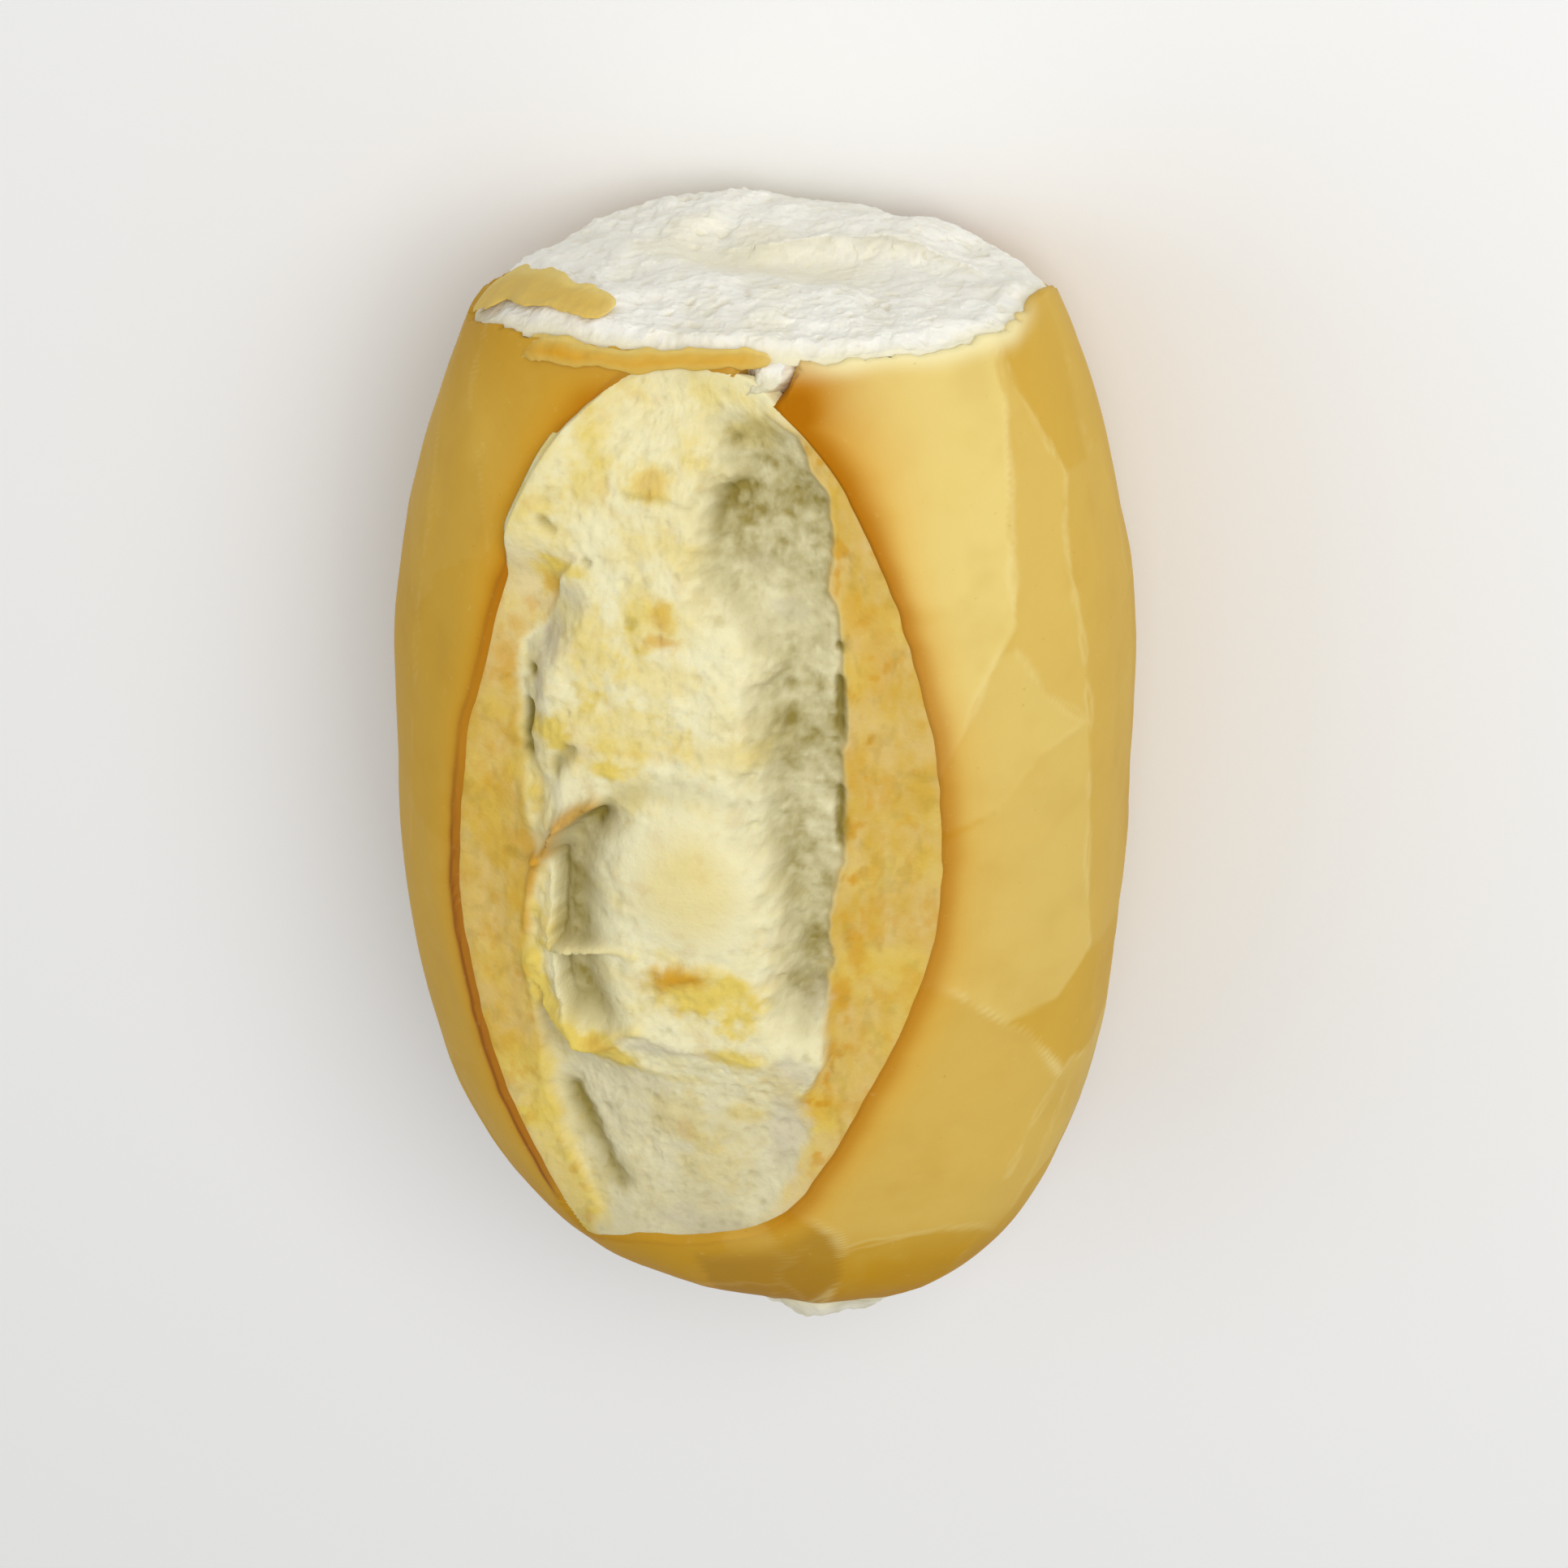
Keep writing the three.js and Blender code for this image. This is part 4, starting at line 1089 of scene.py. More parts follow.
@dataclass
class CrustSkin:
    """The crust: one closed skin of rings from the tail's tip to the torn edge and behind it."""

    form: LoafForm
    burst: Burst
    crackle: Crackle
    tail_rows: int = 172
    nose_rows: int = 118
    floor_columns: int = 20
    lip_columns: int = 38
    side_columns: int = 78
    belly_columns: int = 60
    floor_reach: float = 0.86
    lip_reach: tuple[float, float] = (0.875, 1.24)
    follow_floor: float = 9.0
    follow_most: float = 0.66
    belly_from: float = 207.0
    belly_to: float = 333.0
    sunk: float = 9.0
    wall: float = 1.1
    far_away: float = 30.0
    # Places where one look gives way to the next: across (x), along (y) and up (z), in millimetres.
    left_to_right: tuple[float, float] = (-6, 6)
    to_nose: tuple[float, float] = (20, 54)
    strip_place: Path = ((4.5, 2.5), (51, 54.5))
    burst_foot: tuple[float, float] = (-36, -42)
    burnt_corner: tuple[float, float] = (8.5, 53.4)
    white_edge: Path = ((4, 14), (24, 34))
    left_flank: tuple[float, float] = (-30, -6)
    tail_cap: tuple[float, float] = (-47, -37)
    low_side: tuple[float, float] = (8, 26)
    belly_height: tuple[float, float] = (2, 9)
    behind_rim: tuple[tuple[float, float], ...] = ((0.03, 0.15), (0.07, 2.0), (0.5, 5.0))

    def stations(self) -> Array:
        """Stations of the rings: a sine towards the tail, even towards the torn edge."""
        share = np.arange(1, self.tail_rows + 1) / self.tail_rows
        tail = self.form.widest_y - self.form.tail_length * np.sin(0.5 * math.pi * (1 - share))
        nose = np.arange(1, self.nose_rows + 1) / self.nose_rows
        return np.concatenate([tail, self.form.widest_y + (self.form.rim_y - self.form.widest_y) * nose])

    def angles(self, y: Array) -> Array:
        """Angles of the columns at each station (rows, columns).

        Over the burst the columns follow its lips and lie close there. Down the sides they lie
        closer than under the belly.
        """
        inner = np.linspace(-self.floor_reach, self.floor_reach, self.floor_columns)
        outer = np.linspace(*self.lip_reach, self.lip_columns)
        shares = np.concatenate([-outer[::-1], inner, outer])[::-1]
        half_width = self.form.section(y)[2]
        follow = np.maximum(self.burst.half_width_at(y), self.follow_floor)
        follow = np.minimum(follow, self.follow_most * half_width)
        over = self.form.angle_at(self.burst.middle(y)[:, None] + shares * follow[:, None], y[:, None])
        right, left = over[:, :1], over[:, -1:]
        low_left, low_right = math.radians(self.belly_from), math.radians(self.belly_to)
        down = np.arange(1, self.side_columns) / self.side_columns
        under = np.arange(self.belly_columns + 1) / self.belly_columns
        return np.concatenate([
            over,
            left + (low_left - left) * down,
            low_left + (low_right - low_left) * np.broadcast_to(under, (len(y), len(under))),
            low_right + (right + 2 * math.pi - low_right) * down,
        ], axis=1)

    def tones(self, point: Array, angle: Array, gap: Array, light: Array) -> dict[str, Array]:
        """Named numbers for the finish, from 0 to 1.

        The lip is toasted in a band that fades outwards, deep and wide beside the torn end. The
        left flank and the tail are deeper gold. The right of the torn edge fades to white.
        """
        x, y, z = point[..., 0], point[..., 1], point[..., 2]
        right = smooth_step(*self.left_to_right, x)
        nose = smooth_step(*self.to_nose, y)
        outside = np.clip(gap, 0, None)
        strength = right * (0.62 + 0.38 * nose) + (1 - right) * (0.42 + 0.4 * smooth_step(8, 40, y))
        width = right * (1.5 + 1.5 * smooth_step(36, 54, y)) + (1 - right) * (1.1 + 1.3 * nose)
        strip = smooth_step(*self.strip_place[0], x) * smooth_step(*self.strip_place[1], y)
        here = (1 - 0.85 * smooth_step(*self.burst_foot, y)) * (1 - 0.7 * strip)
        lip = strength * bell(outside, 0.85 * width) * here
        gold = strength * (0.6 * bell(outside, 1.7 * width) + 0.4 * np.exp(-outside / (1.9 * width))) * here
        line = bell(outside - 0.2, 0.3) * (1 - right) * (0.35 + 0.6 * smooth_step(18, -6, y))
        line = line * (1 - 0.8 * smooth_step(-40, -45, y))
        corner_x, corner_y = self.burnt_corner
        corner = smooth_step(3, 6, x) * np.exp(-np.hypot(x - corner_x, (y - corner_y) / 1.3) / 3.0)
        lip, gold = np.maximum(lip, 1.5 * corner), np.maximum(gold, 1.8 * corner)
        behind = self.form.rim_station(angle) - y
        white_x, white_z = self.white_edge
        edge = smooth_step(2.8, 0.0, behind) ** 2 * smooth_step(*white_x, x) * smooth_step(*white_z, z)
        left, tail = fade(*self.left_flank, x), fade(*self.tail_cap, y)
        deep = 0.12 * left + 0.5 * left * smooth_step(42, 56, y) + 0.25 * tail
        deep = deep + 0.18 * fade(*self.low_side, z)
        deep = deep + 0.5 * bell(y + 54, 5.0) * smooth_step(24, 34, z) + 0.25 * tail * smooth_step(-4, 6, x)
        tones = {"lip": lip, "gold": gold, "line": line, "light": light * (1 - 0.6 * tail), "deep": deep,
                 "edge": edge, "belly": fade(*self.belly_height, z)}
        return {key: np.clip(value, 0, 1) for key, value in tones.items()}

    def relief(self, station: Array, angle: Array, point: Array) -> tuple[Array, dict[str, Array]]:
        """Height of the crust over the smooth roll, and its named numbers."""
        x, y, z = point[..., 0], point[..., 1], point[..., 2]
        above = np.sin(angle) > 0
        gap = np.where(above, self.burst.gap(x, y), self.far_away)
        notch = np.where(above, self.burst.notch_gap(x, y), self.far_away)
        fold, drawn = self.crackle.relief(station, angle, point)
        away = smooth_step(0.3, 4.0, gap)
        height = fold * away + 0.25 * fractal(x + z, y, 17.0, Seed.SWELL, 3) * away
        height += self.burst.lip(gap, y) * fade(0.0, 0.8, -gap)
        depth = self.wall * smooth_step(-0.1, 0.6, -gap) + self.sunk * smooth_step(0.2, 4.0, -gap)
        height -= np.maximum(self.burst.taper(y), 0.25) * depth
        height -= self.sunk * smooth_step(0.6, -1.2, notch)
        numbers = self.tones(point, angle, gap, drawn["light"])
        return height, numbers | {key: drawn[key] * away for key in ("crease", "dusk")}

    def rings(self) -> tuple[Array, dict[str, Array]]:
        """Points (rows, columns, 3) of the crust as far as its broken edge."""
        y = self.stations()
        angle = self.angles(y)
        share = np.clip((y - self.form.widest_y) / (self.form.rim_y - self.form.widest_y), 0, 1)[:, None]
        fine = 0.45 * fractal(38 * np.cos(angle), 38 * np.sin(angle), 2.2, Seed.RIM_RAG, 3)
        rim = self.form.rim_station(angle) - self.form.rim_y
        station = y[:, None] + share**3 * rim + share**14 * fine
        point, normal = self.form.point(station, angle), self.form.normal(station, angle)
        height, numbers = self.relief(station, angle, point)
        point = point + height[..., None] * normal
        point[..., 2] = np.maximum(point[..., 2], 0.0)
        return point, numbers

    def build(self, finish: bpy.types.Material) -> bpy.types.Object:
        """Makes the crust: its rings, then three more that turn in behind the broken edge."""
        point, numbers = self.rings()
        rim = point[-1]
        middle = np.array([0.0, self.form.rim_y, 0.5 * self.form.height])
        behind = []
        for inward, back in self.behind_rim:
            ring = rim + inward * (middle - rim)
            ring[:, 1] = rim[:, 1] - back
            behind.append(ring)
        tip = self.form.point(np.array(self.form.tail_tip_y + 1e-4), np.array(0.0))
        hub_numbers = {key: (values[0].mean(), 0.0) for key, values in numbers.items()}
        numbers = {key: np.concatenate([values, np.repeat(values[-1:], len(behind), axis=0)])
                   for key, values in numbers.items()}
        skin = np.concatenate([point, np.stack(behind)])
        surface = close_tube(skin, (tip, middle - (0, 8.0, 0)), numbers, hub_numbers)
        return surface.to_object("crust", finish, Slot.CRUST)


@dataclass
class BurstCrumb:
    """The crumb inside the burst, from lip to lip, with its ledges, valley, bulge and hollows."""

    form: LoafForm
    burst: Burst
    rows: int = 378
    columns: int = 256
    overlap: float = 1.6
    end_room: float = 0.4
    eased: float = 0.3
    tuck: float = 1.8
    most: float = 0.95
    # Stations between which each kind of crumb sets in, and between which it ends.
    right_ledge: Path = ((-40, -34), (50, 54))
    left_ledge_end: tuple[float, float] = (30, 38)
    valley: Path = ((-17, -8), (50, 54))
    left_valley: Path = ((9, 13), (30, 36))
    hollow: Path = ((-18.5, -14), (8.5, 11.5))
    bulge: Path = ((-26, -14), (44, 56))
    bulge_whole: tuple[float, float] = (26, 35)
    white_middle: Path = ((10, 16), (34, 40))
    low_left: tuple[float, float] = (-24, -34)
    low_right: tuple[float, float] = (-20, -30)

    def plan(self) -> tuple[Array, Array]:
        """Plan coordinates (rows, columns): even across, nearly even along, out under the lips."""
        share = np.linspace(0, 1, self.rows)
        blend = self.eased * 0.5 * (1 - np.cos(math.pi * share)) + (1 - self.eased) * share
        tail, nose = self.burst.ends()
        y = (tail + self.end_room + (nose - tail - 1.5 * self.end_room) * blend)[:, None]
        across = np.linspace(-1, 1, self.columns)
        x = self.burst.middle(y) + across * (self.burst.half_width_at(y) + self.overlap)
        return x, np.broadcast_to(y, x.shape)

    def zones(self, x: Array, y: Array) -> dict[str, Array]:
        """Shares from 0 to 1 of the burst's different kinds of crumb, and distances to its lines.

        Args:
            x, y: Plan coordinates (rows, columns).

        Returns:
            The two ledges, the valley, the shaded foot of the left ledge, the lower end and the
            hollow as shares; the distance round the blister's middle, 1 at its edge; and the
            distances in millimetres from both ledges' steps, with the noise that tears them.
        """
        burst = self.burst
        ragged = fractal(x, y, 2.6, Seed.RAGGED, 4)
        from_right = x - along(burst.right_step, y) - 0.4 * ragged
        from_left = x - along(burst.left_step, y) + 0.4 * ragged
        from_valley = x - along(burst.valley_edge, y) + 1.6 * fractal(x, y, 4.0, Seed.VALLEY, 4)
        right = smooth_step(-0.8, 0.4, from_right) * between(*self.right_ledge, y)
        left = smooth_step(-0.5, 0.9, -from_left) * fade(*self.left_ledge_end, y)
        valley = smooth_step(-3.6, 2.2, from_valley) * fade(-0.4, 0.6, from_right)
        valley = valley * between(*self.valley, y)
        left_valley = between((-0.1, 0.8), (1.2, 4.0), from_left) * between(*self.left_valley, y)
        edge_x, edge_y = np.array(burst.lower_edge).T
        below = np.interp(x, edge_x, edge_y) - y + 0.6 * ragged
        soft = smooth_step(-7, 2, x)
        lower = smooth_step(-0.3 - 3.5 * soft, 1.8 + 3.5 * soft, below) * (1 - right) * (1 - left)
        from_hollow = x - along(burst.hollow, y) + 0.25 * ragged
        hollow = smooth_step(-1.2, -0.5, from_hollow) * bell(np.clip(from_hollow - 1.6, 0, None), 3.4)
        start, end = self.hollow
        hollow = hollow * smooth_step(*start, y) * fade(*end, y + 0.2 * from_hollow)
        centre_x, centre_y, half_x, half_y, _ = burst.blister
        around = np.hypot((x - centre_x) / half_x, (y - centre_y) / half_y) + 0.05 * ragged
        return {"right": right, "left": left, "valley": valley, "left_valley": left_valley, "lower": lower,
                "hollow": hollow * smooth_step(0.6, 1.25, around), "around": around, "from_left": from_left,
                "from_right": from_right, "ragged": ragged}

    def main_height(self, x: Array, y: Array, gap: Array, zones: dict[str, Array], clear: Array) -> Array:
        """Main relief in millimetres: ledges, floor, bulge, blister and hollows.

        Args:
            x, y: Plan coordinates (rows, columns).
            gap: Distance outside the lips there.
            zones: What zones() gives.
            clear: What the ribs leave of the hollow, from 0 to 1.
        """
        burst = self.burst
        height = -0.3 - (burst.ledge_drop - 0.3) * smooth_step(0, 4.0, -gap)
        height = height - burst.ledge_fall * np.clip(-gap / burst.ledge_reach, 0, 1)
        inside = (1 - zones["right"]) * (1 - zones["left"])
        by_step = 0.55 + 0.45 * smooth_step(-0.5, -4.0, zones["from_right"])
        height -= burst.floor_drop * inside * np.maximum(zones["valley"] * by_step, zones["lower"])
        far = smooth_step(*self.bulge_whole, y)
        rise = smooth_step(0.3, 5.5, zones["from_left"]) * (1 - far) + far
        length = between(*self.bulge, y)
        height += burst.bulge_height * rise * (1 - zones["valley"]) * inside * length
        height += 2.0 * bell(x - 1, 13) * bell(y + 30, 12) * inside * zones["lower"]
        height += burst.blister[4] * np.clip(1 - (0.85 * zones["around"]) ** 2, 0, 1) ** 1.6
        return height - burst.hollow_depth * zones["hollow"] * clear

    def patterns(self, x: Array, y: Array, zones: dict[str, Array]) -> dict[str, Array]:
        """Fine patterns that the relief and the colours share.

        Cottony lumps, fibres pulled across, streaks along, two sizes of pore, and toasted skin.
        """
        pulled = zones["valley"] + zones["left_valley"] + 0.5 * zones["lower"] + 0.8 * zones["hollow"]
        bent_x, bent_y = x + 0.8 * zones["ragged"], y + 0.5 * zones["ragged"]
        return {
            "cotton": fractal(x, y, 3.6, Seed.COTTON, 5, gain=0.6),
            "tuft": 1 - np.abs(fractal(x, y, 2.0, Seed.TUFT, 4)),
            "fibre": fractal(bent_x, bent_y, 1.0, Seed.FIBRE, 3, stretch=2.4),
            "blotch": fractal(x, y, 3.4, Seed.BLOTCH, 3),
            "streak": fractal(y, x, 0.9, Seed.STREAK, 3, stretch=2.2),
            "hole": pores(x, y, 2.0, Seed.HOLE, 0.35),
            "small": pores(x, y, 0.95, Seed.SMALL_HOLE, 0.3),
            "skin": smooth_step(-0.35, 0.85, fractal(x, y, 5.5, Seed.SKIN, 5, gain=0.62)),
            "pulled": np.clip(pulled, 0, 1),
            "calm": 1 - 0.8 * fade(0.75, 1.1, zones["around"]),
            "ledge": np.maximum(zones["right"], zones["left"]),
        }

    def fine_height(self, zones: dict[str, Array], patterns: dict[str, Array]) -> Array:
        """Fine relief of each kind of crumb."""
        ledge, pulled, calm = patterns["ledge"], patterns["pulled"], patterns["calm"]
        height = 0.3 * patterns["cotton"] * (1 - 0.65 * ledge) * calm
        height += 0.22 * (patterns["tuft"] - 0.7) * (1 - 0.75 * ledge) * (1 - 0.4 * pulled) * calm
        height *= 1 - 0.3 * pulled
        height += 0.05 * pulled * patterns["fibre"] + 0.05 * ledge * patterns["streak"]
        height *= 1 - 0.85 * zones["hollow"]
        return height - (0.2 * patterns["hole"] + 0.1 * patterns["small"]) * (1 - 0.65 * ledge) * calm

    def tones(self, x: Array, y: Array, zones: dict[str, Array], patterns: dict[str, Array],
              clear: Array) -> dict[str, Array]:
        """Named numbers for the finish, from 0 to 1, before the ribs and blots are added.

        The ledges are tan with browned freckles. Open crumb is toasted where its skin stands proud.
        The valley, hollow and pores get painted olive shade, the lower end a little painted grey-lilac shade.

        Args:
            x, y: Plan coordinates (rows, columns).
            zones: What zones() gives.
            patterns: What patterns() gives.
            clear: What the ribs leave of the shade, from 0 to 1.
        """
        ledge, calm, pulled, skin = (patterns[key] for key in ("ledge", "calm", "pulled", "skin"))
        cotton, fibre, blotch = (patterns[key] for key in ("cotton", "fibre", "blotch"))
        open_crumb = (1 - ledge) * (1 - pulled)
        far = smooth_step(34, 42, y)
        low_left = zones["left"] * smooth_step(*self.low_left, y)
        low_right = zones["right"] * smooth_step(*self.low_right, y)
        cloud = fractal(y, x, 3.2, Seed.CLOUD, 4, stretch=1.6, gain=0.6)
        tan = ledge * (0.84 + 0.08 * patterns["streak"] + 0.14 * cloud)
        tan = tan * (1 - 0.5 * low_left) * (1 - 0.3 * low_right)
        tan = tan * (1 - 0.55 * zones["left"] * smooth_step(16, 33, y))
        start, end = self.white_middle
        white = bell((x - 3.5) / 6.0, 1.0) * smooth_step(*start, y) * fade(*end, y)
        toast = (0.42 + 0.08 * far) * skin * (1 - 0.7 * white) + 0.08 * far
        toast = open_crumb * (toast + 0.15 * smooth_step(0.0, 0.8, cotton)) * calm
        toast += 0.4 * bell(zones["from_left"] - 0.8, 2.4) * (1 - ledge) * smooth_step(-0.6, 0.5, cotton)
        toast += 0.42 * fade(0.3, 1.0, zones["around"])
        toast += 0.4 * ledge * skin + (0.4 + 0.4 * skin) * low_left + 0.5 * low_right * skin
        freckle = smooth_step(0.25, 0.8, fractal(y, x, 1.5, Seed.FRECKLE, 4, stretch=1.5))
        step = bell(zones["from_right"] - 1.0, 1.3) * zones["right"]
        orange = 0.36 * freckle * ledge + 0.4 * step * freckle + 0.14 * ledge * smooth_step(0.1, 0.8, -cloud)
        orange += 0.14 * open_crumb * smooth_step(0.4, 0.8, fractal(x, y, 2.4, Seed.SPOT, 4))
        mottle = fractal(x, y, 1.8, Seed.MOTTLE, 4, gain=0.7)
        shade = zones["valley"] * (0.56 + 0.2 * blotch + 0.24 * mottle - 0.14 * fibre)
        shade *= 1 - 0.4 * bell(y - 33, 5.0)
        shade += 0.22 * zones["left_valley"] + 0.12 * zones["lower"] * (1 + blotch)
        shade += 0.95 * zones["hollow"] * (0.82 + 0.14 * blotch - 0.1 * fibre)
        shade += (0.12 * patterns["hole"] + 0.06 * patterns["small"]) * calm
        # Painted shade specks on the open crumb.
        shade += 0.12 * smooth_step(0.55, 0.8, fractal(x, y, 1.6, Seed.SOOT, 3)) * (1 - 0.7 * ledge) * calm
        shade = shade * clear * (1 - 0.85 * ledge)
        # Olive specks on the ledges, in the shade coat's colour.
        shade += 0.16 * ledge * smooth_step(0.3, 0.8, fractal(y, x, 1.1, Seed.LEDGE_SOOT, 3, stretch=1.5))
        # Painted grey-lilac shade on the lower end and in the valley.
        lilac = (0.35 * zones["lower"] + 0.15 * zones["valley"] * smooth_step(-0.1, 0.7, -blotch)) * clear
        return {"tan": tan, "toast": toast, "orange": orange, "shade": shade, "lilac": lilac}

    def build(self, finish: bpy.types.Material) -> bpy.types.Object:
        """Makes the burst's crumb."""
        x, y = self.plan()
        gap = self.burst.gap(x, y)
        zones = self.zones(x, y)
        patterns = self.patterns(x, y, zones)
        shares = [rib.share(x, y, zones["ragged"]) for rib in RIBS]
        clear = np.prod([1 - rib.clears * share for rib, share in zip(RIBS, shares)], axis=0)
        inside = smooth_step(0.1, 1.5, -gap)
        height = self.main_height(x, y, gap, zones, clear) + self.fine_height(zones, patterns) * inside
        tones = self.tones(x, y, zones, patterns, clear)
        for rib, share in zip(RIBS, shares):
            height += rib.height * share
            tones[rib.tone[0]] = tones[rib.tone[0]] + rib.tone[1] * share
        torn = fractal(x, y, 2.6, Seed.BLOT_EDGE, 5, gain=0.65)
        for blot in BLOTS:
            tones[blot.number] = tones[blot.number] + blot.share(x, y, torn)
        tones = {key: np.clip(value, 0, self.most) for key, value in tones.items()}
        height = self.burst.taper(y) * height - self.tuck * smooth_step(0.0, 1.1, gap)
        back = np.array([0.0, 0.0, self.form.height - 16.0])
        surface = close_patch(self.form.raised(x, y, height), back, tones)
        return surface.to_object("burst_crumb", finish, Slot.CRUMB)


@dataclass
class TornCrumb:
    """The white crumb of the torn end."""

    form: LoafForm
    side: int = 300
    bulge: float = 1.4
    shoulder: float = 2.4
    hollow: tuple[float, float, float, float, float] = (-1.0, 22.5, 13.0, 6.0, 2.2)
    ridge: Path = ((-2.0, 20.5), (2.0, 18.5), (8.0, 17.0), (14.0, 17.4), (18.0, 19.5))

    def build(self, finish: bpy.types.Material) -> bpy.types.Object:
        """Makes the torn face.

        A disc is scaled out to the crust's broken edge, and its height along Y rises from the edge
        to a dome with fluffy relief, a shallow hollow and a brow over it.
        """
        across, up = disc_grid(self.side)
        reach, angle = np.hypot(across, up), np.arctan2(up, across)
        edge = self.form.point(self.form.rim_station(angle), angle)
        middle = np.array([0.0, self.form.rim_y + 0.6, 0.5 * self.form.height])
        inward = 1 - reach
        point = edge + (inward * 0.985 + 0.015)[..., None] * (middle - edge)
        x, z = point[..., 0], point[..., 2]
        lump = fractal(x, z, 11.0, Seed.LUMP, 3)
        puff = fractal(x, z, 4.4, Seed.PUFF, 5, gain=0.52)
        billow = 1 - np.abs(fractal(x, z, 2.8, Seed.BILLOW, 4))
        hole, small = pores(x, z, 2.2, Seed.TORN_HOLE, 0.3), pores(x, z, 1.0, Seed.TORN_SMALL, 0.35)
        centre_x, centre_z, half_x, half_z, depth = self.hollow
        hollow = bell(x - centre_x, half_x) * bell(z - centre_z, half_z)
        brow = plan_gap(x, z, self.ridge) + 0.4 * puff
        above = z < np.interp(x, *np.array(self.ridge).T)
        calm = 1 - 0.75 * hollow * (1 - above)
        fluff = (0.55 * lump + 0.4 * puff + 0.35 * (billow - 0.7) - 0.25 * hole - 0.12 * small) * calm
        rise = self.bulge + 0.9 * crag(x, z, 8.0, Seed.TORN_CRAG) - depth * hollow
        rise *= smooth_step(0, 0.12, inward)
        rise += smooth_step(-0.02, 0.05, inward) * (fluff + 0.9 * bell(brow, 1.6))
        sill = 0.35 * fade(0, 0.02, inward)
        y = middle[1] + (edge[..., 1] - middle[1]) * reach**self.shoulder + rise - sill
        low = smooth_step(22, 4, z) * smooth_step(0.0, 0.06, inward)
        y = y + 2.2 * low * fade(0.3, 0.7, inward)
        shift = 0.35 * smooth_step(0.01, 0.1, inward)
        aside, over = (shift * fractal(x, z, 1.5, seed, 3) for seed in (Seed.SHIFT_X, Seed.SHIFT_Z))
        top = np.stack([x + aside, y, z + over], axis=-1)
        # Painted shade in the pores and the dips between puffs, and a painted shadow under the brow.
        pore_shade = 0.3 * hole * calm + 0.15 * small * calm + 0.2 * smooth_step(0.2, 0.8, -puff) * calm
        pore_shade += 0.45 * bell(brow + 0.2, 1.3) * ~above
        rim = 0.6 * fade(0.0, 0.07, inward) + 0.3 * hollow + 0.2 * smooth_step(0.0, 0.7, lump)
        numbers = {"pore_shade": np.clip(pore_shade, 0, 0.9), "edge": np.clip(rim, 0, 1)}
        surface = close_patch(top, middle - (0, 12.0, 0), numbers)
        return surface.to_object("torn_crumb", finish, Slot.CRUMB)


@dataclass
class CrumbTongue:
    """Torn crumb that fills the notch between the burst and the torn end."""

    form: LoafForm
    rows: int = 90
    columns: int = 60
    left: float = 2.2
    right: float = 9.2
    near: float = 51.0
    far: float = 59.0

    def build(self, finish: bpy.types.Material) -> bpy.types.Object:
        """Makes the tongue: the smooth roll's top raised by lumps, sinking on all four sides."""
        y, x = np.meshgrid(np.linspace(self.near, self.far, self.rows),
                           np.linspace(self.left, self.right, self.columns), indexing="ij")
        lean = 0.35 * (y - self.far)
        side = np.minimum(x - self.left - 0.4, self.right - 0.6 - x + lean)
        side += 0.8 * fractal(x, y, 1.6, Seed.TONGUE_SIDE, 4)
        end = np.minimum(y - 53.6 - 0.5 * (x - 4.6), self.far - y)
        end += 0.5 * fractal(x, y, 2.0, Seed.TONGUE_END, 3)
        sunk = 1 - smooth_step(-0.4, 1.6, side) * smooth_step(0.0, 1.2, end)
        height = 0.1 + 0.35 * fractal(x, y, 2.0, Seed.TONGUE_LUMP, 5, gain=0.6) - 2.6 * sunk
        height -= 1.5 * smooth_step(self.far - 2.6, self.far, y)
        # Painted shade: grey at the foot towards the burst, and in the pores.
        grey = smooth_step(57.2, 54.6, y)
        pore_shade = 0.3 * smooth_step(0.1, 0.7, fractal(x, y, 1.6, Seed.TONGUE_PORE, 3)) + 0.6 * grey
        numbers = {"pore_shade": pore_shade, "edge": 0.1 + 0.8 * grey}
        back = self.form.point(np.array(0.5 * (self.near + self.far)), np.array(0.5 * math.pi))
        surface = close_patch(self.form.raised(x, y, height), back + (5.7, 0, -6.0), numbers)
        return surface.to_object("crumb_tongue", finish, Slot.CRUMB)


